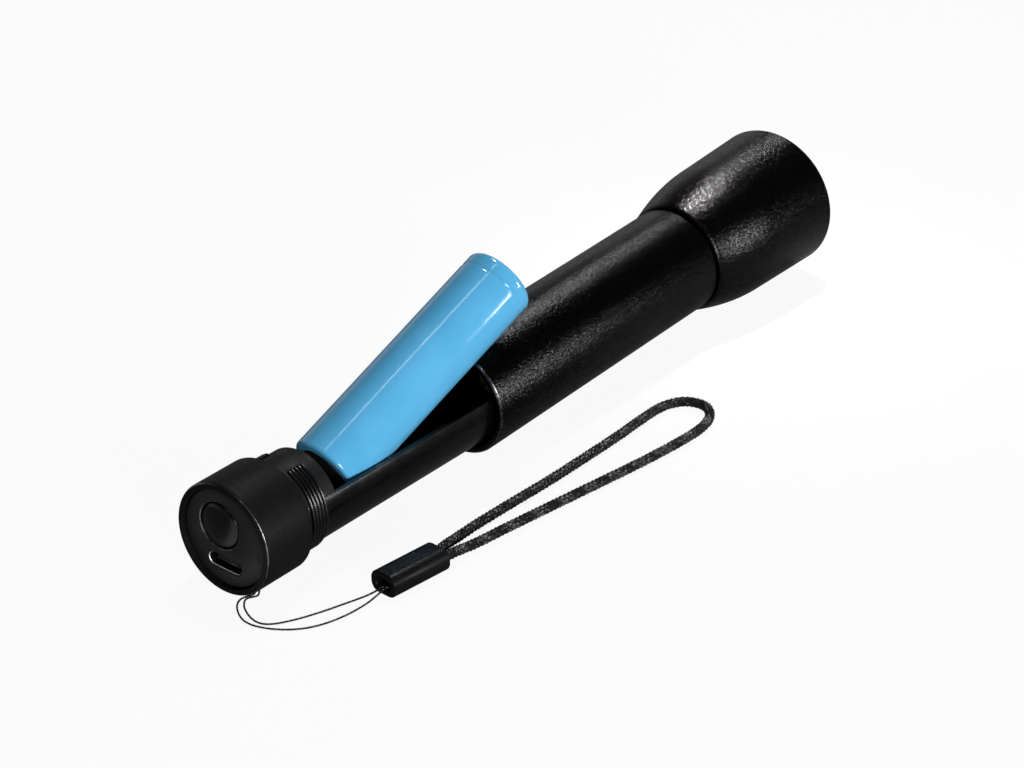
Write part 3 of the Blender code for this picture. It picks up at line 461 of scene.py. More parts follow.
def cut_mesh(mesh, tools):
    body, *cutters = [bpy.data.objects.new("cutter", item) for item in (mesh, *tools)]
    for item in (body, *cutters):
        scene.collection.objects.link(item)
    for item in cutters:
        boolean = body.modifiers.new("cut", "BOOLEAN")
        boolean.operation = "DIFFERENCE"
        boolean.solver = "EXACT"
        boolean.object = item
    made = plain_mesh(body)
    for item in (body, *cutters):
        bpy.data.objects.remove(item, do_unlink=True)
    return made


def plain_mesh(thing):
    bpy.context.view_layer.update()
    graph = bpy.context.evaluated_depsgraph_get()
    return bpy.data.meshes.new_from_object(thing.evaluated_get(graph))


def dress_faces(mesh, index, chosen):
    for face in mesh.polygons:
        face.material_index = index if chosen(face.center) else face.material_index


# Geometry Nodes helpers
def new_tree(name, inputs):
    tree = bpy.data.node_groups.new(name, "GeometryNodeTree")
    tree.interface.new_socket("Geometry", in_out="INPUT", socket_type="NodeSocketGeometry")
    tree.interface.new_socket("Geometry", in_out="OUTPUT", socket_type="NodeSocketGeometry")
    for label, value in inputs.items():
        kind = "NodeSocketInt" if isinstance(value, int) else "NodeSocketFloat"
        tree.interface.new_socket(label, in_out="INPUT", socket_type=kind).default_value = value
    return tree, tree.nodes.new("NodeGroupInput").outputs


def wire_along(tree, route, radius, corners, **more):
    outline = add(tree, "CurvePrimitiveCircle", {"Resolution": corners, "Radius": radius})
    inputs = {"Curve": route, "Profile Curve": outline, "Fill Caps": True, **more}
    return add(tree, "CurveToMesh", inputs)


def close_tree(tree, geometry, finish):
    realized = add(tree, "RealizeInstances", {"Geometry": geometry})
    dressed = add(tree, "SetMaterial", {"Geometry": realized, "Material": finish})
    tree.links.new(dressed.outputs[0], tree.nodes.new("NodeGroupOutput").inputs[0])
    return tree


def grown(name, build, place, finish, owner, base=None, smooth=50, **values):
    """Runs a tree and keeps what it makes as one plain mesh."""
    data = base if base is not None else bpy.data.meshes.new(name)
    host = bpy.data.objects.new(name + "_host", data)
    scene.collection.objects.link(host)
    modifier = host.modifiers.new("grow", "NODES")
    modifier.node_group = tree = build(finish)
    identifiers = {
        item.name: item.identifier for item in tree.interface.items_tree if item.in_out == "INPUT"
    }
    for label, value in values.items():
        modifier[identifiers[label.replace("_", " ")]] = value
    mesh = plain_mesh(host)
    host.modifiers.remove(modifier)
    bpy.data.objects.remove(host, do_unlink=True)
    return link(name, mesh, place, [finish], owner, smooth)


def line_curve(name, points):
    curve = bpy.data.curves.new(name, "CURVE")
    curve.dimensions = "3D"
    spline = curve.splines.new("POLY")
    spline.points.add(len(points) - 1)
    for target, point in zip(spline.points, points):
        target.co = (*point, 1)
    return curve


def strand_tree(finish):
    """Strands wound round a route: all one way for a laid string, or crossing for a braid."""
    tree, given = new_tree("wound_strands", {
        "Strands": 12, "Turn Length": 0.008, "Reach": 0.00089, "Weave Depth": 0.00018,
        "Strand Radius": 0.00033, "Crossing": 1, "Step": 0.0004, "Core Radius": 0.00078,
    })

    def times(first, second):
        return calc(tree, "MULTIPLY", first, second)

    def vector_calc(operation, inputs):
        return add(tree, "VectorMath", inputs, operation=operation)

    route = add(
        tree, "ResampleCurve", {"Curve": given["Geometry"], "Length": given["Step"]}, mode="LENGTH"
    )
    copies = add(
        tree, "DuplicateElements", {"Geometry": route, "Amount": given["Strands"]}, domain="SPLINE"
    )
    number = copies.outputs["Duplicate Index"]
    odd = times(calc(tree, "MODULO", number, 2), given["Crossing"])
    way = calc(tree, "SUBTRACT", 1, times(odd, 2))
    along = add(tree, "SplineParameter").outputs["Length"]
    wound = calc(tree, "DIVIDE", times(along, 2 * pi), given["Turn Length"])
    share = calc(tree, "DIVIDE", calc(tree, "SUBTRACT", number, odd), given["Strands"])
    angle = calc(tree, "ADD", times(way, wound), times(share, 2 * pi))
    crossings = times(times(wound, given["Strands"]), 0.5)
    weave = times(times(way, given["Weave Depth"]), calc(tree, "COSINE", crossings))
    reach = calc(tree, "ADD", given["Reach"], weave)
    normal = add(tree, "InputNormal")
    side = vector_calc("CROSS_PRODUCT", {0: add(tree, "InputTangent"), 1: normal})
    out = vector_calc("SCALE", {0: normal, "Scale": times(reach, calc(tree, "COSINE", angle))})
    over = vector_calc("SCALE", {0: side, "Scale": times(reach, calc(tree, "SINE", angle))})
    moved = add(
        tree, "SetPosition", {"Geometry": copies, "Offset": vector_calc("ADD", {0: out, 1: over})}
    )
    joined = add(tree, "JoinGeometry")
    strands = wire_along(tree, moved, given["Strand Radius"], 6)
    core = wire_along(tree, route, given["Core Radius"], 8)
    for part in (strands, core):
        tree.links.new(part.outputs[0], joined.inputs[0])
    return close_tree(tree, joined, finish)


def place_along(tree, count, offset, thing, **more):
    line = add(tree, "MeshLine", {"Count": count, "Offset": offset, **more})
    return add(tree, "InstanceOnPoints", {"Points": line, "Instance": thing})


def pad_row_tree(finish):
    tree, given = new_tree("pad_row", {
        "Count": 12, "Spacing": 0.0005, "Pad Width": 0.0003, "Pad Length": 0.003,
        "Pad Height": 0.00006,
    })
    span = calc(tree, "MULTIPLY", calc(tree, "SUBTRACT", given["Count"], 1), given["Spacing"])
    start = vector_of(tree, Y=calc(tree, "MULTIPLY", span, -0.5))
    size = vector_of(tree, X=given["Pad Height"], Y=given["Pad Width"], Z=given["Pad Length"])
    row = place_along(
        tree, given["Count"], vector_of(tree, Y=given["Spacing"]),
        add(tree, "MeshCube", {"Size": size}), **{"Start Location": start},
    )
    return close_tree(tree, row, finish)


def thread_tree(finish):
    """A thread whose ridges stop short of a smooth strip on top and run out into it."""
    tree, given = new_tree("interrupted_thread", {
        "Ridges": 5, "Pitch": 0.00108, "Core Radius": 0.01218, "Ridge Radius": 0.00042,
        "Strip Angle": 0.73, "Run Out": 0.05,
    })
    turned_share = calc(
        tree, "DIVIDE", calc(tree, "SUBTRACT", 2 * pi, given["Strip Angle"]), 2 * pi
    )
    ridge = add(tree, "CurveSpiral", {
        "Resolution": 96, "Rotations": turned_share, "Start Radius": given["Core Radius"],
        "End Radius": given["Core Radius"],
        "Height": calc(tree, "MULTIPLY", given["Pitch"], turned_share),
    })
    half_strip = calc(tree, "MULTIPLY", given["Strip Angle"], 0.5)
    turn = vector_of(tree, Z=calc(tree, "SUBTRACT", pi, half_strip))
    placed = add(tree, "Transform", {"Geometry": ridge, "Rotation": turn})
    factor = add(tree, "SplineParameter").outputs["Factor"]
    nearest = calc(tree, "MINIMUM", factor, calc(tree, "SUBTRACT", 1, factor))
    fade = calc(tree, "MULTIPLY", given["Run Out"], 0.25)
    run_out = mapped(tree, nearest, 0, fade, 0.25, 1)
    swept = wire_along(tree, placed, given["Ridge Radius"], 12, Scale=run_out)
    rows = place_along(tree, given["Ridges"], vector_of(tree, Z=given["Pitch"]), swept)
    return close_tree(tree, rows, finish)


def spring_tree(finish):
    tree, given = new_tree("wound_spring", {
        "Turns": 4.0, "Rear Radius": 0.0042, "Front Radius": 0.0026, "Rise": 0.0054,
        "Wire Radius": 0.0004,
    })
    wire = add(tree, "CurveSpiral", {
        "Resolution": 40, "Rotations": given["Turns"], "Start Radius": given["Rear Radius"],
        "End Radius": given["Front Radius"], "Height": given["Rise"],
    })
    return close_tree(tree, wire_along(tree, wire, given["Wire Radius"], 12), finish)


def ring_tree(finish):
    tree, given = new_tree("ring_of_blocks", {
        "Count": 4, "Ring Radius": 0.0026, "Block Depth": 0.0008, "Block Width": 0.0016,
        "Block Height": 0.0001,
    })
    ring = add(
        tree, "CurvePrimitiveCircle", {"Resolution": given["Count"], "Radius": given["Ring Radius"]}
    )
    points = add(tree, "CurveToPoints", {"Curve": ring}, mode="EVALUATED")
    size = vector_of(tree, X=given["Block Depth"], Y=given["Block Width"], Z=given["Block Height"])
    facing = add(tree, "AlignRotationToVector", {"Vector": add(tree, "InputPosition")}, axis="X")
    rows = add(tree, "InstanceOnPoints", {
        "Points": points, "Instance": add(tree, "MeshCube", {"Size": size}), "Rotation": facing,
    })
    return close_tree(tree, rows, finish)


# Routes of the strap, the same as the model's
string_radius = 0.00035
string_spacing = 0.00106
bend_radius = 0.0014
lanyard_station = 0.0044
lanyard_angle = 0.419
lanyard_radius = 0.0012
socket_width = 0.005
socket_height = 0.003
socket_depth = 0.0058
braid_radius = 0.0014
braid_spacing = 0.0031
braid_socket_depth = 0.0052
# points in tenths of a millimetre
string_route_out = [
    (-1119, -47, 3.5), (-1145, -57, 3.5), (-1170, -83, 3.5), (-1188, -115, 3.5), (-1193, -145, 3.5),
    (-1188, -175, 3.5), (-1176, -205, 3.5), (-1156, -236, 3.5), (-1126, -264, 3.5),
    (-1084, -285, 3.5), (-1033, -299, 4.5), (-990, -307, 8), (-964, -311, 12.5), (-940, -314, 19),
]
string_route_back = [
    (-933, -299, 18), (-950, -288, 11.5), (-972, -275, 7), (-1003, -260, 4), (-1037, -248, 3.5),
    (-1069, -236, 3.5), (-1102, -222, 3.5), (-1132, -206, 3.5), (-1156, -190, 3.5),
    (-1172, -172, 3.5), (-1177, -150, 3.5), (-1170, -122, 3.5), (-1154, -92, 3.5),
    (-1137, -71, 3.5), (-1114, -57, 3.5),
]
loop_route = [
    (-708, -307, 27), (-674, -298, 22), (-639, -292, 16.5), (-594, -288, 14.2), (-556, -287, 14),
    (-422, -290, 14), (-280, -295, 14), (-130, -295, 14), (8, -293, 14), (112, -288, 14),
    (199, -291, 14), (251, -323, 14), (258, -378, 14), (221, -420, 14), (158, -440, 14),
    (71, -440, 14), (-67, -426, 14), (-228, -402, 14), (-384, -378, 14), (-538, -355, 14),
    (-608, -346, 14.2), (-642, -343, 16.5), (-676, -342, 22), (-708, -343, 27),
]


def in_metres(route):
    return [[value / 10000 for value in point] for point in route]


def smooth_route(route, spacing):
    knots = [Vector(point) for point in route]
    padded = [2 * knots[0] - knots[1], *knots, 2 * knots[-1] - knots[-2]]
    fine = [knots[0]]
    for before, start, end, after in zip(padded, padded[1:], padded[2:], padded[3:]):
        for i in range(1, 21):
            t = i / 20
            fine.append(
                0.5 * (
                    2 * start
                    + (end - before) * t
                    + (2 * before - 5 * start + 4 * end - after) * t * t
                    + (3 * start - before - 3 * end + after) * t * t * t
                )
            )
    chosen, walked = [fine[0]], 0
    for before, here in zip(fine, fine[1:-1]):
        walked += (here - before).length
        if walked >= spacing:
            chosen.append(here)
            walked = 0
    return [*chosen, fine[-1]]


def bead_point(along, sideways, up=0):
    left = Vector((-bead_heading.y, bead_heading.x, 0))
    return bead_start + bead_heading * along + left * sideways + Vector((0, 0, up))


def hole_route(axis_point, direction, across, side):
    """One strand's way out of the lanyard hole, bent rearwards along the cap's underside."""
    offset = side * string_spacing
    floor_reach = (axis_height - string_radius + offset * across.z) / -direction.z
    bend_start = floor_reach - bend_radius
    inside = cap_bore_radius + string_radius / 4
    base = axis_point + across * offset
    points = [base + direction * inside, base + direction * (inside + bend_start) / 2]
    for i in range(4):
        angle = pi / 2 * i / 3
        points.append(
            base + direction * (bend_start + bend_radius * sin(angle))
            + Vector((bend_radius * (cos(angle) - 1), 0, 0))
        )
    return points


def make_cord(name, node, route, radius, riders=(), **values):
    cord = grown(
        name, strand_tree, place_of(), braid_yarn,
        ("tail_module", node, "black_cord"), base=line_curve(name + "_line", route), **values,
    )
    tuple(route[0])
    sum(dist(a, b) for a, b in zip(route, route[1:]))
    [make() for make in riders]


def make_strap():
    direction = Vector((0, -sin(lanyard_angle), -cos(lanyard_angle)))
    across = Vector((0, cos(lanyard_angle), -sin(lanyard_angle)))
    axis_point = Vector((tail_x + lanyard_station, 0, axis_height))
    drop = -socket_height / 5
    middle = -0.12 * socket_width
    turn_depth = socket_depth - seat_gap - string_radius - bend_radius
    turn = [
        bead_point(turn_depth + bend_radius * sin(pi * i / 4),
                   middle / 2 - bend_radius * cos(pi * i / 4), drop)
        for i in range(5)
    ]
    string_points = smooth_route([
        *hole_route(axis_point, direction, across, 0.5), *in_metres(string_route_out),
        bead_point(0, middle - 0.43 * string_spacing, drop),
        bead_point(turn_depth / 2, middle - string_spacing, drop), *turn,
        bead_point(turn_depth / 2, middle + string_spacing, drop),
        bead_point(0, middle + 0.43 * string_spacing, drop), *in_metres(string_route_back),
        *reversed(hole_route(axis_point, direction, across, -0.5)),
    ], 0.0005)
    make_cord(
        "laid_string", "strap_string", string_points, string_radius, [make_bead],
        Strands=3, Turn_Length=0.0017, Reach=0.00012, Weave_Depth=0, Strand_Radius=0.00014,
        Crossing=0, Step=0.0002, Core_Radius=0.00006,
    )
    depth = bead_length - braid_socket_depth + seat_gap
    loop_points = smooth_route([
        bead_point(depth, braid_spacing / 2), bead_point(bead_length, braid_spacing / 2),
        *in_metres(loop_route), bead_point(bead_length, -braid_spacing / 2),
        bead_point(depth, -braid_spacing / 2),
    ], 0.0012)
    make_cord("braided_loop", "strap_loop", loop_points, braid_radius)


def make_bead():
    width, height, corner, edge, lip = 0.0084, 0.0058, 0.0025, 0.0005, 0.0003
    braid_height = 2 * (braid_radius + seat_gap)
    braid_width = braid_spacing + braid_height

    def outer(inset):
        return rounded(width - 2 * inset, height - 2 * inset, corner - inset)

    def string_hole(widened):
        return rounded(socket_width + 2 * widened, socket_height + 2 * widened, socket_height)

    def braid_hole(widened):
        return rounded(braid_width + 2 * widened, braid_height + 2 * widened, braid_height)

    def risen(i, count):
        return sin(pi / 2 * i / count)

    def fallen(i, count):
        return 1 - cos(pi / 2 * i / count)

    far = bead_length
    sections = [
        (string_hole(0), socket_depth), (string_hole(0), 2 * lip),
        *((string_hole(lip * fallen(i, 3)), lip * (1 - risen(i, 3))) for i in (1, 2, 3)),
        *((outer(edge * (1 - risen(i, 4))), edge * fallen(i, 4)) for i in range(5)),
        *((outer(edge * fallen(i, 4)), far - edge * (1 - risen(i, 4))) for i in range(5)),
        *((braid_hole(lip * risen(i, 3)), far - lip * fallen(i, 3)) for i in (3, 2, 1)),
        (braid_hole(0), far - 2 * lip), (braid_hole(0), far - braid_socket_depth),
    ]
    return link(
        "strap_bead_moulding", stacked_mesh(sections), bead_place, [bead_plastic],
        ("tail_module", "strap_bead", "black_plastic"), 40,
    )


make_strap()


# Tail cap, disc, button and charging port
def make_cap():
    rim_rounding, front_station, worn_radius = 0.0011, 0.0173, 0.0136
    front = [
        (front_station, cap_bore_radius), (front_station, tray_radius + seat_gap),
        (0.0153, cap_radius),
    ]
    rear = arc((rim_rounding, cap_radius - rim_rounding), rim_rounding, 0, -pi / 2, 12)
    profile = [
        *softened([*front, rear[0]], 0.00025), *rear[1:],
        *softened([
            rear[-1], (0, recess_radius), (recess_depth, recess_radius),
            (recess_depth, cap_bore_radius),
        ], 0.00016)[1:],
    ]
    direction = Vector((cos(lanyard_angle), -sin(lanyard_angle), 0))
    hole = turned_mesh(rod(0, 0.012, lanyard_radius), 40)
    hole.transform(
        Matrix.Translation(Vector((0, 0, lanyard_station)) + direction * 0.0085)
        @ direction.to_track_quat("Z", "Y").to_matrix().to_4x4()
    )
    mesh = cut_mesh(turned_mesh(profile, 168, closed=True), [hole])
    low, high = rear[6][0], rear[4][0]
    dress_faces(mesh, 1, lambda at: low < at.z < high and hypot(at.x, at.y) > worn_radius)
    owner = ("tail_module", "tail_cap", "satin_cap")
    link("tail_cap_turned", mesh, tail_place, [satin, worn_edge], owner)


def make_disc():
    rear, front, radius = 0.00125, 0.00245, 0.0125
    chamfer, hole_radius, chamfer_radius = 0.0014, 0.0061, 0.0064
    mesh = turned_mesh(softened([
        (front, 0), (front, radius), (rear, radius), (rear, 0),
    ], 0.0002), 144)
    hole = turned_mesh(softened([
        (-0.002, 0), (-0.002, chamfer_radius), (0.00122, chamfer_radius), (chamfer, hole_radius),
        (0.005, hole_radius), (0.005, 0),
    ], 0.00004), 96)
    hole.transform(place_of(-button_height, button_sideways))
    slot = slab_mesh(rounded(0.0109, 0.0041, 0.00205), -0.002, 0.006)
    slot.transform(port_spot)
    mesh = cut_mesh(mesh, [hole, slot])

    def worn(at):
        out = hypot(at.x + button_height, at.y - button_sideways)
        return 0.00121 < at.z < 0.00142 and 0.006 < out < 0.00645

    dress_faces(mesh, 1, worn)
    owner = ("tail_module", "tail_disc", "black_plastic")
    link("end_disc", mesh, tail_place, [disc_plastic, worn_edge], owner)


def make_button():
    rear, flange_front = 0.00305, recess_depth + 0.0009
    stem_radius, flange_radius = 0.0018, 0.0073
    dome_radius, shoulder, rise, fullness = 0.0058, 0.0019, 0.00145, 2.2
    dome = []
    for i in range(1, 24):
        share = cos(pi / 2 * i / 24)
        dome.append((
            shoulder - rise * (1 - share ** fullness) ** (1 / fullness), dome_radius * share,
        ))
    profile = [
        (rear, 0), (rear, stem_radius), (flange_front, stem_radius),
        (flange_front, flange_radius), (recess_depth, flange_radius),
        (recess_depth, dome_radius), (shoulder, dome_radius), *dome, (shoulder - rise, 0),
    ]
    owner = ("button", "button_boot", "black_rubber")
    turned("button_dome", softened(profile, 0.0001), button_place, [rubber], owner, 96)


def make_port():
    """The drawn shell of the port: its metal painted near black all over as the shade inside the
    slot, but for its bright inner lip.
    """
    def outline(inset):
        return rounded(0.0105 - 2 * inset, 0.0037 - 2 * inset, 0.00185 - inset)

    start, end, wall, lip_row = 0.0014, 0.0105, 0.0003, 3
    sections = [
        (outline(0), end), (outline(0), start + 0.00006), (outline(0.00004), start),
        (outline(0.00008), start), (outline(wall - 0.00004), start + 0.00018),
        (outline(wall), start + 0.0004), (outline(wall), end - wall),
    ]
    # painted shade on every row of the shell but the lip row, which keeps the nickel
    mesh = stacked_mesh(sections, lambda row: int(row == lip_row))
    owner = ("tail_module", "port_shell", "nickel")
    port_place = tail_place @ port_spot
    link("port_metal_shell", mesh, port_place, [port_painted_shade, port_lip], owner, 45)
    plate = slab_mesh(rounded(0.0072, 0.00014, 0.00006, center=0.00034), 0.00252, 0.00275)
    link("tongue_plate", plate, port_place, [worn_edge], ("tail_module", None, "nickel"), 30)
    for side, label in ((-1, "upper"), (1, "lower")):
        place = port_place @ place_of(side * 0.00042, z=0.0062)
        owner = ("tail_module", None, "brass")
        grown(f"port_pads_{label}", pad_row_tree, place, gold_pad, owner)


make_cap()
make_disc()
make_button()
make_port()


# Battery tray with its threaded neck
def make_tray():
    tray_end, nose_radius, neck_start, spigot_radius = 0.1029, 0.0114, 0.0176, 0.011
    window_length, sill = 0.0639, 0.0036
    pocket_start = window_end - 0.004
    profile = softened([
        (tray_end, 0), (tray_end, 0.0106), (tray_end - 0.0008, nose_radius),
        (window_end, nose_radius), (window_end - 0.0005, tray_radius),
        (neck_start, tray_radius), (neck_start, spigot_radius), (spigot_start, spigot_radius),
        (spigot_start, 0),
    ], 0.0002)
    around = arc((0, 0), trough_radius, 0, pi, 64)
    top = -2 * tray_radius
    trough = slab_mesh(
        [(top, trough_radius), *around, (top, -trough_radius)], window_station, window_end
    )
    window = block_mesh(
        (2 * tray_radius, 4 * tray_radius, window_length),
        (-sill - tray_radius, 0, window_station + window_length / 2),
    )
    pocket = turned_mesh(rod(pocket_start, pocket_end, trough_radius), 144)
    stud = turned_mesh(rod(0, 0.036, 0.0012), 32)
    rivet = turned_mesh(rod(0.095, 0.11, 0.0018), 32)
    groove = block_mesh(
        (0.0014, 0.0046, pocket_end - window_station),
        (trough_radius, 0, (window_station + pocket_end) / 2),
    )
    mesh = cut_mesh(turned_mesh(profile, 168), [trough, window, pocket, stud, rivet, groove])
    dress_faces(mesh, 1, lambda at: at.z < window_station + 0.0001)
    owner = ("tail_module", "battery_tray", "black_plastic")
    link("tray_moulding", mesh, tail_place, [tray_plastic, neck_plastic], owner, 30)
    grown(
        "neck_thread", thread_tree, tail_place @ place_of(z=0.01785), thread_plastic,
        ("tail_module", None, "black_plastic"), smooth=80,
    )
    grown(
        "tray_spring", spring_tree, tail_place @ place_of(z=0.0287), steel,
        ("tail_module", "rear_spring", "spring_steel"), smooth=80,
    )
    grown(
        "driver_coil", spring_tree, sleeve_place @ place_of(z=0.0877), steel,
        ("sleeve", "driver_spring", "spring_steel"), smooth=80,
        Rear_Radius=0.0036, Front_Radius=0.0036, Rise=0.0052,
    )
    contact = softened([
        (0.028, 0), (0.028, 0.009), (0.0275, 0.009), (0.0275, 0.0009),
        (spigot_start, 0.0009), (spigot_start, 0),
    ], 0.00012)
    owner = ("tail_module", "rear_contact", "nickel")
    turned("tray_contact_plate", contact, tail_place, [nickel], owner, 120)
    rivet = softened([
        (0.104, 0), (0.104, 0.0032), (0.1032, 0.0032), (0.1032, 0.0015), (0.0988, 0.0015),
        (0.0988, 0.0032), (0.098, 0.0032), (0.098, 0),
    ], 0.0003, 5)
    owner = ("tail_module", "front_contact", "brass")
    turned("nose_rivet", rivet, tail_place, [brass], owner, 96)


make_tray()


# Battery cell
def make_cell():
    """The film folds over both ends and dips into the can's crimp groove near the front."""
    lip, mouth, film_bore, rounding, groove_depth = 0.0003, 0.0069, 0.00905, 0.0018, 0.00012
    groove_start, groove_end = cell_length - 0.0052, cell_length - 0.0038
    groove = [
        (groove_end - (groove_end - groove_start) * i / 10,
         cell_radius - groove_depth * 0.5 * (1 - cos(2 * pi * i / 10)))
        for i in range(11)
    ]
    half = rounding / 2
    wrap = [
        (cell_length, mouth),
        *arc((cell_length - rounding, cell_radius - rounding), rounding, pi / 2, 0, 12), *groove,
        *arc((half, cell_radius - half), half, 0, -pi / 2, 8),
        (0, mouth), (lip, mouth), (lip, 0.00815), (0.0009, film_bore), (groove_start, film_bore),
        ((groove_start + groove_end) / 2, 0.0086), (groove_end, film_bore),
        (cell_length - rounding, film_bore), (cell_length - lip, 0.00725),
        (cell_length - lip, mouth),
    ]
    owner = ("cell", "cell_wrap", "blue_wrap")
    turned("shrink_film", wrap, cell_place, [blue_film], owner, 168, closed=True)
    under = cell_length - 0.0011
    cap = softened([
        (cell_length, 0), (cell_length, 0.0037), (cell_length - 0.0003, 0.004),
        (under, 0.004), (under, 0),
    ], 0.00015)
    owner = ("cell", "cell_positive_cap", "nickel")
    turned("cell_button", cap, cell_place, [nickel], owner, 96)
    # painted shade: flat black blocks on the button stand in for the dark vent openings
    vent_place = cell_place @ place_of(z=cell_length - 0.00002)
    grown(
        "cell_vent_shade_patches", ring_tree, vent_place, inner_plastic,
        ("cell", None, "black_plastic"),
    )


make_cell()


# Barrel with its lamp unit
def make_barrel():
    pad_place = sleeve_place @ place_of(z=0.11524)
    grown(
        "led_pads", ring_tree, pad_place, gold_pad, ("sleeve", None, "brass"),
        Count=6, Ring_Radius=0.0072, Block_Depth=0.0018, Block_Width=0.0028, Block_Height=0.00008,
    )
    edge, bore_end = 0.00035, 0.087
    tip_start, tip_radius = 0.108, 0.0129
    ring_front, ring_rear, groove_radius = 0.1023, 0.1005, 0.0123
    outer = [
        (neck_end, lamp_bore_radius), (neck_end, tip_radius), (tip_start, tip_radius),
        (tip_start, neck_radius), (ring_front, neck_radius),
        (ring_front, groove_radius), (ring_rear, groove_radius),
        (ring_rear, neck_radius), (barrel_length, neck_radius),
        (barrel_length, barrel_radius - edge), (barrel_length - edge, barrel_radius),
        (0.0005, barrel_radius), (0, barrel_radius - 0.0005), (0, barrel_bore_radius + 0.00025),
        (0.00025, barrel_bore_radius), (bore_end, barrel_bore_radius), (bore_end, lamp_bore_radius),
    ]

    def band(s, r):
        if r < barrel_bore_radius + 0.0001 and s < neck_end - 0.001:
            return 1
        rear_edge = s < 0.0005 and r > barrel_radius - 0.00052
        front_edge = barrel_length - 0.00036 < s < barrel_length and r > barrel_radius - 0.0004
        return 2 if rear_edge or front_edge else 0

    turned(
        "barrel_tube", softened(outer, 0.00006, 2, closed=True), sleeve_place,
        [anodised, anodised_bore, anodised_edge], ("sleeve", "barrel", "anodised"), 192,
        closed=True, band=band,
    )
    ring = arc((0.1014, 0.01285), 0.0004, 0, -2 * pi, 16)[:-1]
    owner = ("sleeve", "neck_o_ring", "black_rubber")
    turned("o_ring", ring, sleeve_place, [rubber], owner, 120, closed=True)
    stop = softened(ring_section(0.1103, 0.1083, 0.0149, 0.0132), 0.0002, closed=True)
    owner = ("sleeve", "neck_stop_ring", "raw_aluminium")
    turned("stop_ring", stop, sleeve_place, [raw_aluminium], owner, 144, closed=True)
    pill = softened([
        (0.1133, 0), (0.1133, 0.0126), (0.1123, 0.0126), (0.1123, 0.0111), (0.0953, 0.0111),
        (0.0953, 0),
    ], 0.0002)
    owner = ("sleeve", "led_pill", "raw_aluminium")
    turned("led_holder", pill, sleeve_place, [raw_aluminium], owner)
    star = softened(ring_section(0.1152, 0.1136, 0.01), 0.00015)
    owner = ("sleeve", "led_board", "white_plastic")
    turned("led_star_board", star, sleeve_place, [white_board], owner, 120)


# Head with its lens
def make_head():
    start, end, radius, rounding = 0.0922, 0.1386, 0.01955, 0.0016
    crease_radius, rear_radius, flare_length, fullness = 0.0189, 0.0151, 0.0208, 1.8
    bore_radius, bore_end, chamber_radius = 0.0137, start + 0.007, 0.0153
    seat_station, seat_radius, lens_radius = 0.1242, 0.0169, 0.0166
    rise = crease_radius - rear_radius

    def flare_radius(share):
        return rear_radius + rise * (1 - (1 - share) ** fullness)

    flare = [(start + flare_length * (i / 28), flare_radius(i / 28)) for i in range(28, 0, -1)]
    front = [(end, 0.01735), *arc((end - rounding, radius - rounding), rounding, pi / 2, 0, 10)]
    inner = [
        (start, bore_radius), (bore_end, bore_radius), (bore_end, chamber_radius),
        (seat_station, chamber_radius), (seat_station, seat_radius), (end - 0.00045, seat_radius),
    ]
    profile = [
        *front, *flare, (start + 0.0003, rear_radius),
        *softened([(start, rear_radius - 0.0003), *inner, front[0]], 0.0001)[:-1],
    ]

    def band(s, r):
        share = max(0, min(1, (s - start) / flare_length))
        inside = s > start + 0.0002 and r < flare_radius(share) - 0.0006
        return 1 if inside and (s < seat_station + 0.0001 or r < seat_radius) else 0

    turned(
        "head_bell", profile, sleeve_place, [anodised, anodised_bore],
        ("head", "head_shell", "anodised"), 216, closed=True, band=band,
    )
    gasket = softened(ring_section(0.1253, 0.1245, lens_radius, 0.0157), 0.0002, closed=True)
    owner = ("head", "lens_gasket", "black_rubber")
    turned("lens_seal", gasket, sleeve_place, [rubber], owner, 120, closed=True)
    lens_rear, lens_edge, dome_radius, crown = 0.1256, 0.1286, 0.0152, 0.0084
    sphere = (dome_radius ** 2 + crown ** 2) / (2 * crown)
    center = lens_edge + crown - sphere
    half = acos((lens_edge - center) / sphere)
    lens = [(center + sphere * cos(half * i / 24), sphere * sin(half * i / 24)) for i in range(25)]
    lens += [(lens_edge, lens_radius), (lens_rear, lens_radius), (lens_rear, 0)]
    turned("lens_clear", lens, sleeve_place, [clear], ("head", "lens", "lens"), 160)
    keeper = softened(ring_section(0.1319, 0.1289, lens_radius, 0.0156), 0.00015, closed=True)
    owner = ("head", "lens_ring", "anodised")
    turned("lens_keeper", keeper, sleeve_place, [anodised], owner, closed=True)


make_barrel()
make_head()

# Better finishes on the model's own pieces that stay
kept = {
    "switch_housing": inner_plastic, "port_tongue": inner_plastic, "charging_board": green_board,
    "return_strip": brass, "strap_knot": braid_yarn, "switch_plunger": paper,
    "led_emitter": phosphor, "driver_board": green_board, "cell_can": nickel,
    "cell_protection_board": black_board, "cell_insulator": paper,
}
for name, finish in kept.items():
    for holder in nodes[name].material_slots:
        holder.material = finish


# Studio
def area_light(name, location, target, long_side, size, power, spread=180):
    data = bpy.data.lights.new(name, "AREA")
    data.shape = "RECTANGLE"
    data.size, data.size_y = size
    data.energy = power
    data.spread = radians(spread)
    lamp = bpy.data.objects.new(name, data)
    lamp.location = location
    turn_to(lamp, Vector(long_side), (Vector(location) - Vector(target)).normalized())


def seen_by_eye(tree, in_gloss=1):
    """1 for the camera and through clear things, in_gloss in what shines, 0 for falling light."""
    path = add(tree, "LightPath").outputs
    shine = calc(tree, "MULTIPLY", path["Is Glossy Ray"], in_gloss)
    first = calc(tree, "MAXIMUM", path["Is Camera Ray"], shine)
    return calc(tree, "MAXIMUM", first, path["Is Transmission Ray"])


def backdrop_level(tree):
    """White to the eye; in what shines, pale low down and behind, and dim overhead."""
    way = add(tree, "TexCoord").outputs["Generated"]
    lean = add(
        tree, "VectorMath", {0: way, 1: (0, -0.5, 1)}, operation="DOT_PRODUCT"
    ).outputs["Value"]
    fade = mapped(tree, lean, -0.45, 0.3, 0.65, 0.02, interpolation_type="SMOOTHSTEP")
    in_gloss = add(tree, "LightPath").outputs["Is Glossy Ray"]
    return add(tree, "Mix", {"Factor": in_gloss, "A": 1, "B": fade})


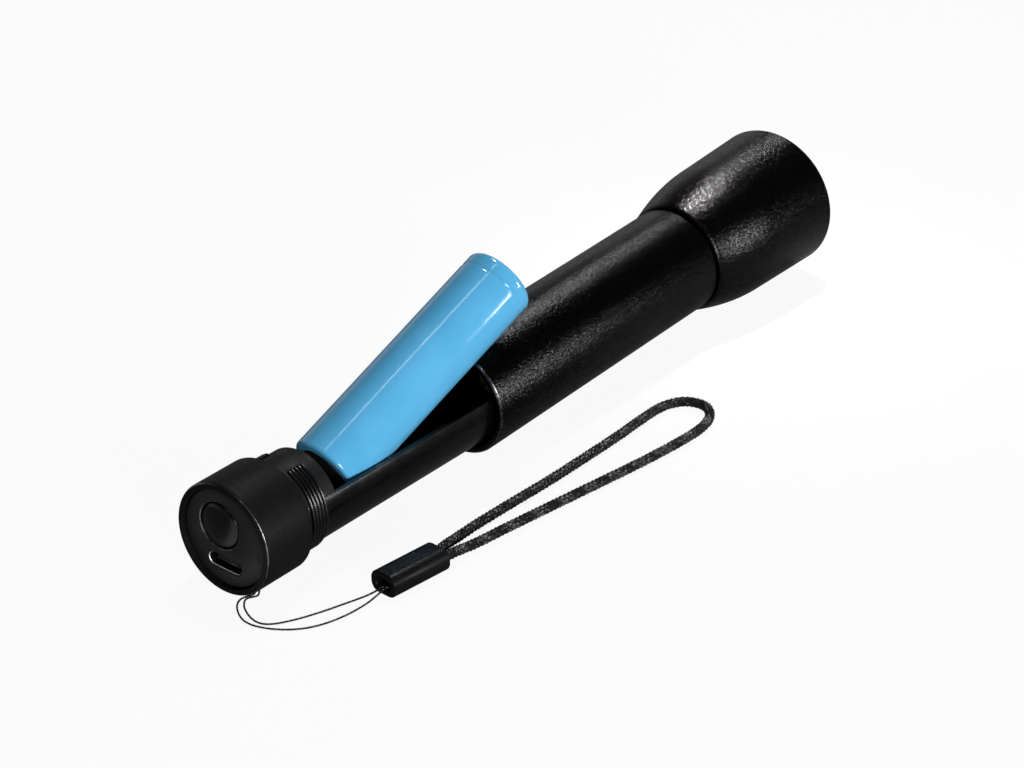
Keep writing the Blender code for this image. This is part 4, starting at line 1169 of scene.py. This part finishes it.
def card_share(tree):
    """1 on the white card that lies behind the tail on the near side, 0 elsewhere."""
    place = add(tree, "TexCoord").outputs["Object"]
    split = add(tree, "SeparateXYZ", {0: place}).outputs
    edges = [
        mapped(tree, split[axis], near, away, 1, 0, interpolation_type="SMOOTHSTEP")
        for axis, away, near in (("X", -0.112, -0.122), ("Y", 0.014, 0.004))
    ]
    return calc(tree, "MULTIPLY", *edges)


def make_world():
    world = bpy.data.worlds.new("pale_studio")
    world.use_nodes = True
    scene.world = world
    tree = world.node_tree
    fill = tree.nodes["Background"]
    fill.inputs["Color"].default_value = (0.9, 0.95, 1, 1)
    fill.inputs["Strength"].default_value = 0.06
    backdrop = add(tree, "Background", {"Color": (1, 1, 1, 1), "Strength": backdrop_level(tree)})
    mix = add(tree, "MixShader", {"Fac": seen_by_eye(tree), 1: fill, 2: backdrop})
    tree.links.new(mix.outputs[0], tree.nodes["World Output"].inputs["Surface"])


def make_floor():
    """A floor that is white to the eye but for a faint shadow, and dark in what shines."""
    reach, height = 4, -0.00006
    to_light, to_eye, gloss_drop = 0.24, 0.8, -0.13
    glow_share, floor_in_gloss = 0.92, 0.08
    corners = [(x * reach, y * reach, height) for x, y in ((-1, -1), (1, -1), (1, 1), (-1, 1))]
    mesh = bpy.data.meshes.new("studio_floor")
    mesh.from_pydata(corners, [], [(0, 1, 2, 3)])
    finish = bpy.data.materials.new("pale_floor")
    finish.use_nodes = True
    tree = finish.node_tree
    tree.nodes.remove(tree.nodes["Principled BSDF"])
    path = add(tree, "LightPath").outputs
    shade = mapped(tree, path["Is Camera Ray"], 0, 1, to_light, to_eye)
    deeper = add(
        tree, "Math", {0: path["Is Glossy Ray"], 1: gloss_drop, 2: shade},
        operation="MULTIPLY_ADD",
    )
    plain = add(tree, "BsdfDiffuse", {"Color": deeper})
    glow = add(tree, "Emission", {"Color": (1, 1, 1, 1), "Strength": 1})
    in_gloss = mapped(tree, card_share(tree), 0, 1, floor_in_gloss, 1)
    share = calc(tree, "MULTIPLY", seen_by_eye(tree, in_gloss), glow_share)
    lifted = add(tree, "MixShader", {"Fac": share, 1: plain, 2: glow})
    tree.links.new(lifted.outputs[0], tree.nodes["Material Output"].inputs["Surface"])
    mesh.materials.append(finish)
    floor = bpy.data.objects.new("studio_floor", mesh)
    scene.collection.objects.link(floor)


# name: place, aimed at, direction of the long side, size, watts and, where narrow, the spread
lamps = {
    "main_box": ((0.32, 0.14, 0.8), (0, 0, 0.01), (1, 0, 0), (0.26, 0.115), 3.2),
    "head_box": ((0.34, 0.14, 0.8), (0.1, 0, 0.03), (1, 0, 0), (0.08, 0.12), 0.055, 11),
    "far_box": ((0.68, 0.29, 0.65), (0.106, 0, 0.025), (1, 0, -1), (0.18, 0.14), 0.016, 11),
    "left_box": ((-0.75, -0.1, 0.65), (0, 0, 0.01), (0, 1, 0), (0.35, 0.35), 0.3),
    "right_box": ((-0.45, -0.87, 0.22), (0, 0, 0.01), (1, 0, 0), (0.4, 0.3), 8.4),
    "low_box": ((0.41, -0.88, 0.13), (0.07, 0, 0.02), (0, 0, 1), (0.24, 0.22), 4.2),
    "cell_strip": ((-0.1, -0.07, 0.92), (0, 0, 0.03), (1, 0, 0), (0.4, 0.045), 0.4),
}
for name, values in lamps.items():
    area_light(name, *values)
make_world()
make_floor()
